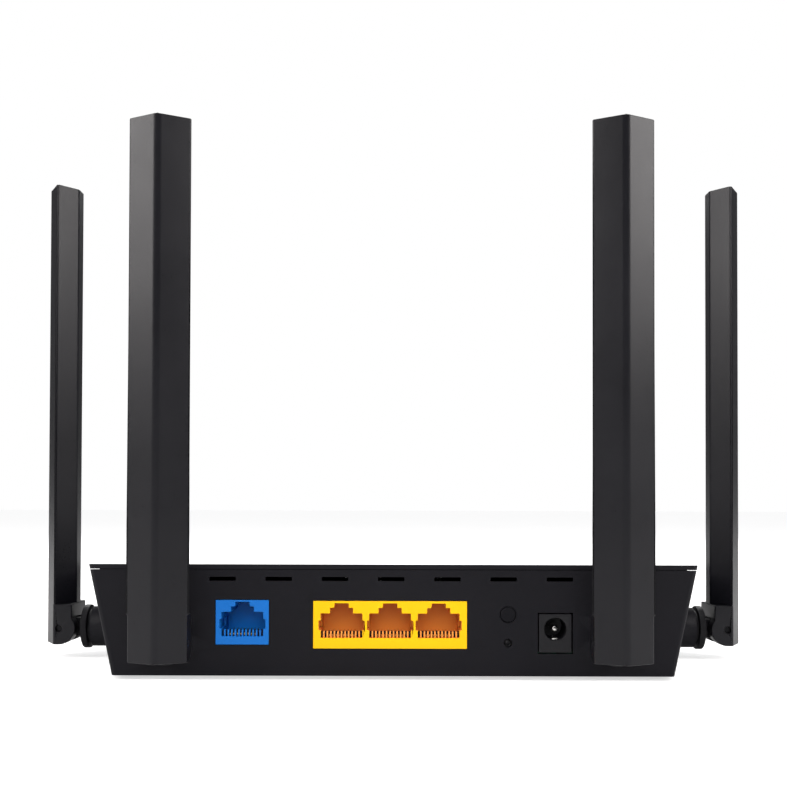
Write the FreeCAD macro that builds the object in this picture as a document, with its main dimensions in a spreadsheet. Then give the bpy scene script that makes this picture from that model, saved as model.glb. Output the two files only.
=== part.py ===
import FreeCAD, Part
import math
import os
import re
import Sketcher

# A wireless router that lies flat, with two blade aerials on its rear panel and one on each side.
# Millimetres, +Z up. The origin is the middle of the footprint, aerials included, on the surface below it.
# The rear panel with the sockets faces -Y, and the front edge faces +Y.

DOC = FreeCAD.newDocument("WirelessRouter")
SHEET = DOC.addObject("Spreadsheet::Sheet", "Sizes")

SIZES = {
    # case
    "case_width": 193.0,
    "rear_width": 175.2,
    "case_depth": 130.0,
    "case_height": 32.0,
    "front_height": 25.0,
    "side_lean": 11.65,
    "flare_depth": 34.0,
    "nose_length": 22.0,
    "nose_inset": 18.0,
    "rear_rounding": 1.5,
    "flare_rounding": 30.0,
    "nose_rounding": 14.0,
    "wall": 2.0,
    "rim": 1.4,
    "seam_gap": 0.15,
    "lip_depth": 1.6,
    "lip_wall": 1.4,
    "lip_clearance": 0.2,
    "foot_height": 1.2,
    "foot_recess": 0.8,
    "foot_radius": 6.0,
    "foot_side": 70.0,
    "rear_foot": 42.0,
    "front_foot": 32.0,
    # case screws
    "screw_side_rear": 75.0,
    "screw_side_front": 60.0,
    "screw_rear": 24.0,
    "screw_front": 17.0,
    "post_radius": 4.4,
    "post_top": 8.0,
    "boss_radius": 3.3,
    "boss_gap": 0.2,
    "screw_radius": 1.25,
    "screw_hole_gap": 0.4,
    "head_radius": 2.7,
    "head_height": 2.0,
    "head_depth": 4.0,
    "screw_length": 11.0,
    # ventilation and wall hooks
    "slot_count": 9.0,
    "slot_pitch": 16.18,
    "slot_middle": -0.6,
    "slot_length": 7.6,
    "slot_height": 1.2,
    "slot_level": 27.8,
    "floor_slot_count": 13.0,
    "floor_slot_pitch": 5.0,
    "floor_slot_width": 1.8,
    "floor_slot_length": 18.0,
    "hook_spacing": 96.0,
    "hook_line": 70.0,
    "hook_head_radius": 3.9,
    "hook_neck_radius": 2.1,
    "hook_travel": 7.0,
    "floor_slots_rear": 40.0,
    "floor_slots_front": 66.0,
    # main board
    "board_width": 112.0,
    "board_depth": 92.0,
    "board_thickness": 1.6,
    "board_top": 6.8,
    "board_start": 2.4,
    "board_post_radius": 3.0,
    "board_post_side": 50.0,
    "board_post_rear": 28.0,
    "board_post_front": 88.0,
    "board_screw_radius": 1.0,
    "board_head_radius": 2.2,
    "board_head_height": 1.4,
    "board_screw_length": 4.2,
    # status lamps
    "lamp_count": 6.0,
    "lamp_pitch": 11.0,
    "lamp_line": 90.8,
    "lamp_height": 1.0,
    "lamp_half_width": 1.0,
    "lamp_half_depth": 0.8,
    "post_half_width": 1.3,
    "post_half_depth": 1.0,
    "rail_level": 16.0,
    "rail_height": 2.0,
    "rail_thickness": 1.6,
    "rail_overlap": 0.4,
    # components on the board, each at x and starting back from the rear panel
    "processor_x": -8.0,
    "processor_back": 58.0,
    "processor_side": 15.0,
    "processor_height": 1.4,
    "pad_margin": 0.5,
    "pad_thickness": 0.5,
    "sink_side": 22.0,
    "sink_base": 2.0,
    "sink_height": 8.0,
    "fin_count": 7.0,
    "fin_pitch": 3.4,
    "fin_thickness": 1.2,
    "shield_x": 29.0,
    "shield_back": 52.0,
    "shield_width": 26.0,
    "shield_depth": 24.0,
    "shield_height": 2.6,
    "shield_skin": 0.4,
    "radio_back": 59.0,
    "radio_side": 9.0,
    "radio_height": 0.9,
    "memory_x": -30.0,
    "memory_width": 10.0,
    "memory_depth": 14.0,
    "memory_height": 1.1,
    "transformer_middle": -1.0,
    "transformer_pitch": 13.0,
    "transformer_offset": 3.5,
    "transformer_back": 30.0,
    "transformer_width": 9.5,
    "transformer_depth": 15.0,
    "transformer_height": 5.6,
    "capacitor_x": 40.0,
    "capacitor_back": 34.0,
    "capacitor_spread": 7.0,
    "capacitor_step": 10.0,
    "capacitor_radius": 3.1,
    "capacitor_height": 8.5,
    # network sockets
    "socket_pitch": 13.97,
    "socket_gap": 0.15,
    "plug_width": 11.98,
    "plug_drop": 7.0,
    "step_width": 6.6,
    "step_rise": 1.6,
    "latch_width": 4.1,
    "latch_rise": 1.3,
    "plug_depth": 14.0,
    "wan_x": -43.4,
    "wan_width": 15.26,
    "wan_low": 8.9,
    "wan_high": 21.72,
    "wan_floor": 11.28,
    "wan_depth": 21.0,
    "lan_x": -0.9,
    "lan_width": 44.2,
    "lan_low": 7.83,
    "lan_high": 21.5,
    "lan_floor": 10.9,
    "lan_depth": 21.0,
    "contact_width": 0.45,
    "contact_pitch": 1.02,
    "contact_thickness": 0.3,
    "contact_start": 1.2,
    "contact_flat": 2.0,
    "contact_end": 11.0,
    "contact_lift": 1.9,
    # power socket
    "jack_x": 46.6,
    "jack_width": 9.4,
    "jack_high": 17.9,
    "jack_gap": 0.35,
    "jack_depth": 14.0,
    "jack_level": 13.6,
    "jack_bore_radius": 3.2,
    "jack_bore_depth": 9.6,
    "jack_pin_radius": 1.05,
    "jack_pin_start": 0.9,
    "jack_pin_neck": 0.85,
    "jack_pin_root": 0.3,
    "leaf_half_width": 0.9,
    "leaf_start": 1.5,
    "leaf_gap": 0.15,
    "leaf_thickness": 0.3,
    # buttons
    "button_x": 33.0,
    "button_level": 17.7,
    "button_radius": 2.2,
    "button_gap": 0.18,
    "button_proud": 0.6,
    "button_flange_radius": 3.1,
    "button_flange": 0.8,
    "button_travel": 0.5,
    "button_stem": 4.2,
    "button_plunger_radius": 1.6,
    "plunger_entry": 1.5,
    "switch_half": 3.1,
    "switch_depth": 5.0,
    "reset_level": 9.55,
    "reset_hole_radius": 1.25,
    "reset_plunger_radius": 0.8,
    "reset_travel": 0.3,
    "reset_start": 0.5,
    "reset_stop": 1.6,
    "reset_entry": 1.0,
    "reset_half": 2.4,
    "reset_switch_depth": 2.2,
    # aerial hinge, measured outwards from the pad face and up from the swivel axis
    "rear_aerial_x": 65.2,
    "right_rear_inset": 1.4,
    "rear_aerial_level": 10.6,
    "rear_pad": 1.0,
    "side_aerial_back": 52.7,
    "side_aerial_level": 8.6,
    "side_pad_out": 3.5,
    "pad_radius": 6.6,
    "bearing_length": 12.0,
    "stub_radius": 4.0,
    "swivel_gap": 0.05,
    "stub_tail": 2.4,
    "clip_thickness": 0.7,
    "clip_radius": 5.6,
    "clip_groove": 0.7,
    "face_gap": 0.15,
    "collar_groove": 0.8,
    "collar_waist": 5.6,
    "collar_radius": 7.2,
    "collar_end": 3.0,
    "tongue_half": 3.4,
    "tongue_radius": 3.05,
    "pin_reach": 9.6,
    "pin_radius": 1.1,
    "pin_gap": 0.05,
    "pin_start": 1.7,
    "pin_end": 7.3,
    "lead_hole_radius": 0.8,
    "lead_radius": 0.57,
    "lead_start": 0.5,
    "plug_x": 46.0,
    "plug_radius": 1.5,
    "plug_gap": 0.05,
    "plug_over_lead": 0.9,
    "plug_back": 50.0,
    "plug_step": 15.0,
    # aerial blade
    "blade_half": 8.6,
    "blade_back": 5.4,
    "blade_joint": 10.6,
    "blade_back_half": 2.6,
    "blade_corner": 11.2,
    "blade_ridge": 15.9,
    "blade_top": 146.1,
    "blade_seam": 8.0,
    "blade_wall": 1.4,
    "blade_back_rounding": 1.6,
    "ridge_rounding": 2.6,
    "cheek_radius": 5.3,
    "cheek_half": 8.3,
    "slot_gap": 0.15,
    "radiator_width": 5.0,
    "radiator_thickness": 0.8,
}

# Lengths worked out from the driving sizes. "rear" is the Y of the rear panel's outer face, such that the
# footprint's middle is the origin: the nose loses a little where it leans, and the ridge where it is rounded.
DERIVED = {
    "lean": "tan(side_lean * 1deg)",
    "nose_loss": "(case_height - front_height) * lean / (1 + slope * lean)",
    "ridge_loss": "ridge_rounding * (sqrt(1 + ((blade_ridge - blade_corner) / blade_half) ^ 2) - 1)",
    "rear": "(rear_pad + blade_ridge - ridge_loss - case_depth + nose_loss) / 2",
    "front": "rear + case_depth",
    "base": "foot_height",
    "deck": "base + case_height",
    "slope": "(case_height - front_height) / case_depth",
    "board_face": "base + board_top",
    "side_aerial_y": "rear + side_aerial_back",
    "side_pad_reach": "case_width / 2 + side_pad_out",
}

NODES = []


def fill_sheet():
    """Every driving size becomes one named cell."""
    for row, (word, number) in enumerate(SIZES.items(), start=1):
        SHEET.set(f"A{row}", word.replace("_", " "))
        SHEET.set(f"B{row}", str(number))
        SHEET.setAlias(f"B{row}", word)
    DOC.recompute()


def spell(text):
    """Writes a length given in size names as an expression on the sheet."""

    def swap(found):
        word = found.group(0)
        if word in DERIVED:
            return "(" + spell(DERIVED[word]) + ")"
        if word in SIZES:
            return "Sizes." + word
        return word

    return re.sub(r"[a-z][a-z_]*[a-z]", swap, str(text))


def bind(item, **lengths):
    """Ties an object's properties to the sheet, such as Length="case_width - wall"."""
    for name, text in lengths.items():
        item.setExpression(name.replace("__", "."), spell(text))


def move(item, x="0", y="0", z="0", turn=None):
    """Places an object at named lengths, turned by (axis, degrees)."""
    if turn:
        axis, degrees = turn
        item.Placement = FreeCAD.Placement(
            FreeCAD.Vector(), FreeCAD.Rotation(FreeCAD.Vector(*axis), degrees)
        )
    bind(item, Placement__Base__x=x, Placement__Base__y=y, Placement__Base__z=z)
    return item


def size(word):
    """A driving or derived length as a number, for shapes that are swept or repeated."""
    if word in SIZES:
        return float(SHEET.get(word))
    return LENGTHS[word]


def derived_lengths():
    """The derived lengths as numbers."""
    lean = math.tan(math.radians(size("side_lean")))
    fall = size("case_height") - size("front_height")
    nose_loss = fall * lean / (1 + fall / size("case_depth") * lean)
    pitch = (size("blade_ridge") - size("blade_corner")) / size("blade_half")
    ridge_loss = size("ridge_rounding") * (math.sqrt(1 + pitch**2) - 1)
    rear = (size("rear_pad") + size("blade_ridge") - ridge_loss - size("case_depth") + nose_loss) / 2
    return {
        "rear": rear,
        "board_face": size("foot_height") + size("board_top"),
        "base": size("foot_height"),
        "side_aerial_y": rear + size("side_aerial_back"),
        "side_pad_reach": size("case_width") / 2 + size("side_pad_out"),
    }


def box(label, x, y, z):
    """A block between two named limits along each axis: x, y and z are (from, to)."""
    item = DOC.addObject("Part::Box", label)
    spans = [f"({high}) - ({low})" for low, high in (x, y, z)]
    bind(item, Length=spans[0], Width=spans[1], Height=spans[2])
    return move(item, x[0], y[0], z[0])


TURNS = {"x": ((0, 1, 0), 90), "y": ((1, 0, 0), -90), "z": ((0, 0, 1), 0)}


def rod(label, axis, radius, span, x="0", y="0", z="0"):
    """A round bar along an axis, between the two lengths in span."""
    item = DOC.addObject("Part::Cylinder", label)
    bind(item, Radius=radius, Height=f"({span[1]}) - ({span[0]})")
    start = {"x": x, "y": y, "z": z}
    start[axis] = span[0]
    return move(item, start["x"], start["y"], start["z"], TURNS[axis])


def cut(label, base, *tools):
    """The base with every tool taken out of it."""
    item = DOC.addObject("Part::Cut", label)
    item.Base = base
    item.Tool = tools[0] if len(tools) == 1 else join(label + "_tools", *tools)
    return item


def join(label, *pieces):
    """Several solids made one."""
    item = DOC.addObject("Part::MultiFuse", label)
    item.Shapes = list(pieces)
    item.Refine = True
    return item


def overlap(label, *pieces):
    """What several solids share."""
    item = DOC.addObject("Part::MultiCommon", label)
    item.Shapes = list(pieces)
    return item


def node(item, label, count=1):
    """Keeps a finished sub-part under its own name, with the number of solids that it should hold."""
    item.Label = label
    NODES.append((item, label, count))
    return item


def shape_node(label, shape, count=1):
    """A sub-part whose shape is swept or repeated, so that no other kind of object suits it."""
    item = DOC.addObject("Part::Feature", label + "_shape")
    item.Shape = shape
    return node(item, label, count)


def sketch(body, plane, points, level):
    """A closed outline on one of the body's own planes, each corner tied to the sheet."""
    item = body.newObject("Sketcher::SketchObject", body.Name + "_outline")
    origin = [face for face in body.Origin.OriginFeatures if face.Role == plane][0]
    item.AttachmentSupport = [(origin, "")]
    item.MapMode = "FlatFace"
    item.setExpression("AttachmentOffset.Base.z", spell(level))
    count = len(points)
    guess = [
        (10 * math.cos(2 * math.pi * i / count), 10 * math.sin(2 * math.pi * i / count)) for i in range(
            count
        )
    ]
    corners = [FreeCAD.Vector(x, y, 0) for x, y in guess]
    for i in range(count):
        item.addGeometry(Part.LineSegment(corners[i], corners[(i + 1) % count]))
    for i in range(count):
        item.addConstraint(Sketcher.Constraint("Coincident", i, 2, (i + 1) % count, 1))
    for i, place in enumerate(points):
        for way, text, start in zip(("DistanceX", "DistanceY"), place, guess[i]):
            number = item.addConstraint(Sketcher.Constraint(way, -1, 1, i, 1, start))
            item.setExpression(f"Constraints[{number}]", spell(text))
    return item


def prism(label, plane, points, span):
    """A body padded from an outline, between the two lengths in span along the plane's normal."""
    body = DOC.addObject("PartDesign::Body", label)
    pad = body.newObject("PartDesign::Pad", label + "_pad")
    pad.Profile = sketch(body, plane, points, span[0])
    bind(pad, Length=f"({span[1]}) - ({span[0]})")
    DOC.recompute()
    return body


def round_edges(body, radius, test):
    """Rounds the body's edges whose middle and direction pass the test."""
    base = body.Tip
    names = []
    for i, edge in enumerate(base.Shape.Edges, start=1):
        ends = [vertex.Point for vertex in edge.Vertexes]
        if len(ends) == 2 and test((ends[0] + ends[1]) * 0.5, ends[1] - ends[0]):
            names.append(f"Edge{i}")
    item = body.newObject("PartDesign::Fillet", body.Name + "_rounding")
    item.Base = (base, names)
    bind(item, Radius=radius)
    DOC.recompute()
    return body


# ---------------------------------------------------------------- case


def case_outline(skin):
    """The case's plan at the deck: a flat rear panel, sides that widen, run straight and turn in in front."""
    rear_half = f"rear_width / 2 - {skin}"
    full_half = f"case_width / 2 - {skin}"
    nose_half = f"case_width / 2 - nose_inset - {skin} / 2"
    back = f"rear + {skin}"
    right = [(rear_half, back), (full_half, "rear + flare_depth"), (full_half, "front - nose_length")]
    right.append((nose_half, f"front - {skin}"))
    left = [(f"-({x})", y) for x, y in reversed(right)]
    return right + left


def case_block(label, skin, floor="0"):
    """The case's outer form, or the room a skin's thickness inside it. All sides but the rear lean in below."""
    body = prism(label, "XY_Plane", case_outline(skin), ("base", "deck"))
    pad = body.Tip
    sides = []
    for i, face in enumerate(pad.Shape.Faces, start=1):
        normal = face.normalAt(0, 0)
        if normal.z > 0.9:
            top = f"Face{i}"
        elif abs(normal.z) < 0.1 and normal.y > -0.99:
            sides.append(f"Face{i}")
    lean = body.newObject("PartDesign::Draft", label + "_lean")
    lean.Base = (pad, sides)
    lean.NeutralPlane = (pad, [top])
    lean.Reversed = True
    bind(lean, Angle="side_lean")
    DOC.recompute()
    rear = size("rear")
    flare = rear + size("flare_depth")

    def upright(low, high):
        return lambda middle, way: abs(way.z) > abs(way.x) + abs(way.y) and low <= middle.y < high

    round_edges(body, "rear_rounding", upright(rear - 1, rear + size("wall") * 2))
    round_edges(
        body, f"flare_rounding - {skin}", upright(flare - size("wall") * 2, flare + size("wall") * 2)
    )
    round_edges(body, f"nose_rounding - {skin}", upright(flare + size("nose_length"), size("case_depth")))
    if floor == "0":
        return body
    room = box(
        label + "_room",
        ("-case_width", "case_width"),
        ("rear", "front"),
        (f"base + {floor}", "deck + wall"),
    )
    return overlap(label + "_above_floor", body, room)


def under_deck(label, drop):
    """Everything below the sloping deck, less a drop, past the case on every side."""
    over = "wall"
    points = [
        (f"rear - {over}", "-case_height"),
        (f"front + {over}", "-case_height"),
        (f"front + {over}", f"deck - {drop} - slope * (case_depth + {over})"),
        (f"rear - {over}", f"deck - {drop} + slope * {over}"),
    ]
    return prism(label, "YZ_Plane", points, ("-case_width", "case_width"))


def corners():
    """Where the four case screws stand: name, x and y."""
    places = []
    for end, along in (("rear", "rear + screw_rear"), ("front", "front - screw_front")):
        for hand, sign in (("left", "-1"), ("right", "1")):
            places.append((f"{hand}_{end}", f"{sign} * screw_side_{end}", along))
    return places


def foot_places():
    """Where the four rubber feet are: name, x and y."""
    places = []
    for end, along in (("rear", "rear + rear_foot"), ("front", "front - front_foot")):
        for hand, sign in (("left", "-1"), ("right", "1")):
            places.append((f"{hand}_{end}", f"{sign} * foot_side", along))
    return places


def board_places():
    """Where the board is screwed down: name, x and y."""
    places = []
    for end in ("rear", "front"):
        for hand, sign in (("left", "-1"), ("right", "1")):
            places.append((f"{hand}_{end}", f"{sign} * board_post_side", f"rear + board_post_{end}"))
    return places


def panel_holes():
    """Everything that goes through the rear panel, apart from the aerials."""
    through = ("rear - wall", "rear + wall * 2")
    holes = []
    for kind in ("wan", "lan"):
        wide = f"{kind}_width / 2 + socket_gap"
        across = (f"{kind}_x - ({wide})", f"{kind}_x + {wide}")
        tall = (f"base + {kind}_low - socket_gap", f"base + {kind}_high + socket_gap")
        holes.append(box(f"{kind}_window", across, through, tall))
    wide = "jack_width / 2 + jack_gap"
    across = (f"jack_x - ({wide})", f"jack_x + {wide}")
    holes.append(
        box("jack_window", across, through, ("board_face - jack_gap", "base + jack_high + jack_gap"))
    )
    button_hole = "button_radius + button_gap"
    holes.append(rod("button_hole", "y", button_hole, through, x="button_x", z="base + button_level"))
    holes.append(
        rod("reset_hole", "y", "reset_hole_radius", through, x="button_x", z="base + reset_level")
    )
    for i in range(int(size("slot_count"))):
        middle = f"slot_middle + ({i} - (slot_count - 1) / 2) * slot_pitch"
        across = (f"{middle} - slot_length / 2", f"{middle} + slot_length / 2")
        level = ("base + slot_level - slot_height / 2", "base + slot_level + slot_height / 2")
        holes.append(box(f"vent_{i + 1}", across, through, level))
    return holes


def floor_holes():
    """Vents, wall hooks, screw holes and foot recesses in the floor."""
    through = ("base - wall", "base + wall * 2")
    holes = []
    for i in range(int(size("floor_slot_count"))):
        middle = f"({i} - (floor_slot_count - 1) / 2) * floor_slot_pitch"
        across = (f"{middle} - floor_slot_width / 2", f"{middle} + floor_slot_width / 2")
        for end in ("rear", "front"):
            start = f"rear + floor_slots_{end}"
            holes.append(
                box(f"floor_vent_{end}_{i + 1}", across, (start, f"{start} + floor_slot_length"), through)
            )
    for hand, sign in (("left", "-1"), ("right", "1")):
        x = f"{sign} * hook_spacing / 2"
        holes.append(
            rod(
                f"{hand}_hook_head",
                "z",
                "hook_head_radius",
                through,
                x=x,
                y="rear + hook_line - hook_travel",
            )
        )
        holes.append(rod(f"{hand}_hook_end", "z", "hook_neck_radius", through, x=x, y="rear + hook_line"))
        across = (f"{x} - hook_neck_radius", f"{x} + hook_neck_radius")
        holes.append(
            box(
                f"{hand}_hook_neck",
                across,
                ("rear + hook_line - hook_travel", "rear + hook_line"),
                through,
            )
        )
    for name, x, y in corners():
        shank = "screw_radius + screw_hole_gap"
        holes.append(
            rod(
                f"{name}_head_hole",
                "z",
                "head_radius + screw_hole_gap",
                ("0", "base + head_depth"),
                x=x,
                y=y,
            )
        )
        holes.append(rod(f"{name}_shank_hole", "z", shank, ("0", "base + post_top + wall"), x=x, y=y))
    for name, x, y in foot_places():
        holes.append(
            rod(
                f"{name}_foot_hole",
                "z",
                "foot_radius + socket_gap",
                ("0", "base + foot_recess"),
                x=x,
                y=y,
            )
        )
    for name, x, y in board_places():
        span = ("base + wall", "board_face")
        holes.append(rod(f"{name}_pilot", "z", "board_screw_radius", span, x=x, y=y))
    return holes


def bearing_blocks():
    """The pads outside the case and the bosses inside it that the aerials swivel in, and their bores."""
    blocks = []
    bores = []
    bore = "stub_radius + swivel_gap"
    for hand, sign in (("left", -1), ("right", 1)):
        x = "-rear_aerial_x" if sign < 0 else "rear_aerial_x - right_rear_inset"
        level = "base + rear_aerial_level"
        span = ("rear - rear_pad", "rear - rear_pad + bearing_length")
        blocks.append(rod(f"{hand}_rear_pad", "y", "pad_radius", span, x=x, z=level))
        bores.append(
            rod(
                f"{hand}_rear_bore",
                "y",
                bore,
                ("rear - wall * 2", "rear + bearing_length * 2"),
                x=x,
                z=level,
            )
        )
        outer = "side_pad_reach"
        inner = "side_pad_reach - bearing_length"
        level = "base + side_aerial_level"
        if sign > 0:
            span = (inner, outer)
            hole = (f"{inner} - bearing_length", f"{outer} + wall")
        else:
            span = (f"-({outer})", f"-({inner})")
            hole = (f"-({outer} + wall)", f"-({inner} - bearing_length)")
        blocks.append(rod(f"{hand}_side_pad", "x", "pad_radius", span, y="side_aerial_y", z=level))
        bores.append(rod(f"{hand}_side_bore", "x", bore, hole, y="side_aerial_y", z=level))
    return blocks, bores


def bottom_case():
    """The tray: floor, walls and rear panel, with posts, pads and every opening."""
    outside = case_block("case_outside", "0")
    inside = case_block("case_inside", "wall", "wall")
    tray = cut(
        "tray", overlap("tray_outside", outside, under_deck("under_seam", "(rim + seam_gap)")), inside
    )
    posts = []
    for name, x, y in corners():
        posts.append(
            rod(f"{name}_post", "z", "post_radius", ("base + foot_recess", "base + post_top"), x=x, y=y)
        )
    for name, x, y in board_places():
        span = ("base + wall / 2", "board_face - board_thickness")
        posts.append(rod(f"{name}_board_post", "z", "board_post_radius", span, x=x, y=y))
    for name, x, y in foot_places():
        backing = ("base + foot_recess", "base + foot_recess + wall")
        posts.append(rod(f"{name}_foot_backing", "z", "foot_radius + wall", backing, x=x, y=y))
    blocks, bores = bearing_blocks()
    whole = join("tray_with_posts", tray, *posts, *blocks)
    node(cut("bottom_case_solid", whole, *panel_holes(), *floor_holes(), *bores), "bottom_case")


def top_cover():
    """The lid: a sloping plate whose rim shows all round, a lip inside the walls, and four screw bosses."""
    outside = case_block("cover_outside", "0")
    plate = overlap("cover_plate", outside, under_deck("under_deck", "0"))
    plate = cut("cover_rim", plate, under_deck("under_rim", "rim"))
    ring = case_block("lip_outside", "(wall + lip_clearance)")
    hollow = case_block("lip_inside", "(wall + lip_clearance + lip_wall)")
    above = cut("lip_ring", ring, hollow)
    above = overlap("lip_below_deck", above, under_deck("under_lip_top", "(rim / 2)"))
    lip = cut("cover_lip", above, under_deck("under_lip", "(rim + lip_depth)"))
    bosses = []
    pilots = []
    for name, x, y in corners():
        foot = "base + post_top + boss_gap"
        bosses.append(rod(f"{name}_boss", "z", "boss_radius", (foot, "deck"), x=x, y=y))
        deep = "base + head_depth + screw_length"
        pilots.append(rod(f"{name}_boss_pilot", "z", "screw_radius", ("base", deep), x=x, y=y))
    columns = overlap(
        "cover_columns", join("cover_bosses", *bosses), under_deck("under_boss_top", "(rim / 2)")
    )
    windows = [
        lamp_post(f"lamp_window_{i + 1}", i, "lip_clearance", "deck + wall") for i in range(
            int(size("lamp_count"))
        )
    ]
    node(
        cut("top_cover_solid", join("cover_with_bosses", plate, lip, columns), *pilots, *windows),
        "top_cover",
    )


def feet_and_screws():
    """Rubber feet, case screws and board screws, each a group of four."""
    feet = []
    screws = []
    for name, x, y in foot_places():
        feet.append(rod(f"{name}_foot", "z", "foot_radius", ("0", "base + foot_recess"), x=x, y=y))
    node(group("feet_group", feet), "rubber_feet", 4)
    for name, x, y in corners():
        seat = "base + head_depth"
        shank = rod(
            f"{name}_shank",
            "z",
            "screw_radius",
            (f"{seat} - head_height / 2", f"{seat} + screw_length"),
            x=x,
            y=y,
        )
        head = rod(f"{name}_head", "z", "head_radius", (f"{seat} - head_height", seat), x=x, y=y)
        socket = rod(
            f"{name}_drive",
            "z",
            "screw_radius",
            (f"{seat} - head_height * 2", f"{seat} - head_height / 2"),
            x=x,
            y=y,
        )
        screws.append(cut(f"{name}_screw", join(f"{name}_blank", shank, head), socket))
    node(group("case_screw_group", screws), "case_screws", 4)
    small = []
    for name, x, y in board_places():
        end = "board_face - board_screw_length"
        shank = rod(
            f"{name}_board_shank",
            "z",
            "board_screw_radius",
            (end, "board_face + board_head_height / 2"),
            x=x,
            y=y,
        )
        head = rod(
            f"{name}_board_head",
            "z",
            "board_head_radius",
            ("board_face", "board_face + board_head_height"),
            x=x,
            y=y,
        )
        small.append(join(f"{name}_board_screw", shank, head))
    node(group("board_screw_group", small), "board_screws", 4)


def group(label, pieces):
    """Separate solids kept together in one node."""
    item = DOC.addObject("Part::Compound", label)
    item.Links = pieces
    return item


# ---------------------------------------------------------------- main board


def main_board():
    """The printed board with its four screw holes."""
    half = "board_width / 2"
    start = "rear + board_start"
    thick = ("board_face - board_thickness", "board_face")
    plate = box("board_plate", (f"-{half}", half), (start, f"{start} + board_depth"), thick)
    holes = []
    for name, x, y in board_places():
        radius = "board_screw_radius + screw_hole_gap"
        holes.append(rod(f"{name}_board_hole", "z", radius, ("base", "board_face + wall"), x=x, y=y))
    node(cut("board_solid", plate, *holes), "main_board")


def on_board(label, x, back, width, depth, height, floor="0"):
    """A block over the board, centred at x, starting back from the rear panel, from a floor up by a height."""
    across = (f"{x} - ({width}) / 2", f"{x} + ({width}) / 2")
    along = (f"rear + {back}", f"rear + {back} + {depth}")
    return box(label, across, along, (f"board_face + {floor}", f"board_face + {floor} + {height}"))


def heat_sink():
    """A base plate on the thermal pad with upright fins."""
    level = "processor_height + pad_thickness"
    back = "(processor_back + (processor_side - sink_side) / 2)"
    pieces = [
        on_board("sink_base_plate", "processor_x", back, "sink_side", "sink_side", "sink_base", level)
    ]
    for i in range(int(size("fin_count"))):
        x = f"processor_x + ({i} - (fin_count - 1) / 2) * fin_pitch"
        pieces.append(
            on_board(f"sink_fin_{i}", x, back, "fin_thickness", "sink_side", "sink_height", level)
        )
    node(join("sink_solid", *pieces), "heat_sink")


def chips():
    """The processor under its pad, the memory, and the radio chip under its shield."""
    side = "processor_side"
    node(
        on_board("processor_block", "processor_x", "processor_back", side, side, "processor_height"),
        "processor",
    )
    side = "(processor_side - 2 * pad_margin)"
    back = "(processor_back + pad_margin)"
    pad = on_board("pad_block", "processor_x", back, side, side, "pad_thickness", "processor_height")
    node(pad, "thermal_pad")
    can = on_board(
        "can_outside", "shield_x", "shield_back", "shield_width", "shield_depth", "shield_height"
    )
    width = "(shield_width - 2 * shield_skin)"
    depth = "(shield_depth - 2 * shield_skin)"
    # the room starts a skin below the board, so that the can is open underneath
    room = on_board(
        "can_inside",
        "shield_x",
        "(shield_back + shield_skin)",
        width,
        depth,
        "shield_height",
        "-shield_skin",
    )
    node(cut("can_solid", can, room), "radio_shield")
    side = "radio_side"
    node(on_board("radio_chip_block", "shield_x", "radio_back", side, side, "radio_height"), "radio_chip")
    memory = on_board(
        "memory_block", "memory_x", "processor_back", "memory_width", "memory_depth", "memory_height"
    )
    node(memory, "memory_chip")


def board_parts():
    """The transformers behind the sockets, the capacitors and the status lamps."""
    places = ["wan_x + transformer_offset"]
    places += [f"transformer_middle + {i} * transformer_pitch" for i in (-1, 0, 1)]
    cores = []
    for i, x in enumerate(places):
        lengths = ("transformer_back", "transformer_width", "transformer_depth", "transformer_height")
        cores.append(on_board(f"transformer_{i}", x, *lengths))
    node(group("transformer_group", cores), "line_transformers", len(cores))
    cans = []
    for i, (aside, step) in enumerate(((0, 0), (-1, 1), (1, 1))):
        x = f"capacitor_x + {aside} * capacitor_spread"
        y = f"rear + capacitor_back + {step} * capacitor_step"
        top = "board_face + capacitor_height"
        cans.append(rod(f"capacitor_{i}", "z", "capacitor_radius", ("board_face", top), x=x, y=y))
    node(group("capacitor_group", cans), "capacitors", len(cans))
    lamps = []
    back = "(lamp_line - lamp_half_depth)"
    for i in range(int(size("lamp_count"))):
        lamps.append(
            on_board(
                f"lamp_{i}", lamp_x(i), back, "2 * lamp_half_width", "2 * lamp_half_depth", "lamp_height"
            )
        )
    node(group("lamp_group", lamps), "status_lamps", len(lamps))


def lamp_x(i):
    """How far a status lamp is from the middle."""
    return f"({i} - (lamp_count - 1) / 2) * lamp_pitch"


def lamp_post(label, i, skin, top):
    """The upright post over one status lamp, or the hole that it passes through."""
    x = lamp_x(i)
    across = (f"{x} - post_half_width - {skin}", f"{x} + post_half_width + {skin}")
    along = (
        f"rear + lamp_line - post_half_depth - {skin}", f"rear + lamp_line + post_half_depth + {skin}"
    )
    return box(label, across, along, ("board_face + lamp_height + lip_clearance", top))


def light_guide():
    """Clear posts on a rail that carry the status lamps' light up to the deck."""
    count = int(size("lamp_count"))
    reach = "(lamp_count - 1) / 2 * lamp_pitch + post_half_width"
    start = "rear + lamp_line + post_half_depth - rail_overlap"
    level = "base + rail_level"
    along = (start, f"{start} + rail_thickness")
    rail = box("guide_rail", (f"-({reach})", reach), along, (level, f"{level} + rail_height"))
    posts = [lamp_post(f"guide_post_{i + 1}", i, "0", "deck") for i in range(count)]
    node(
        overlap("guide_solid", join("guide_whole", rail, *posts), under_deck("under_guide", "0")),
        "light_guide",
    )


# ---------------------------------------------------------------- sockets and buttons


def jack_centres(kind):
    """The middle of each plug opening in a socket block."""
    if kind == "wan":
        return ["wan_x"]
    return [f"lan_x + {i} * socket_pitch" for i in (-1, 0, 1)]


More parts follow.
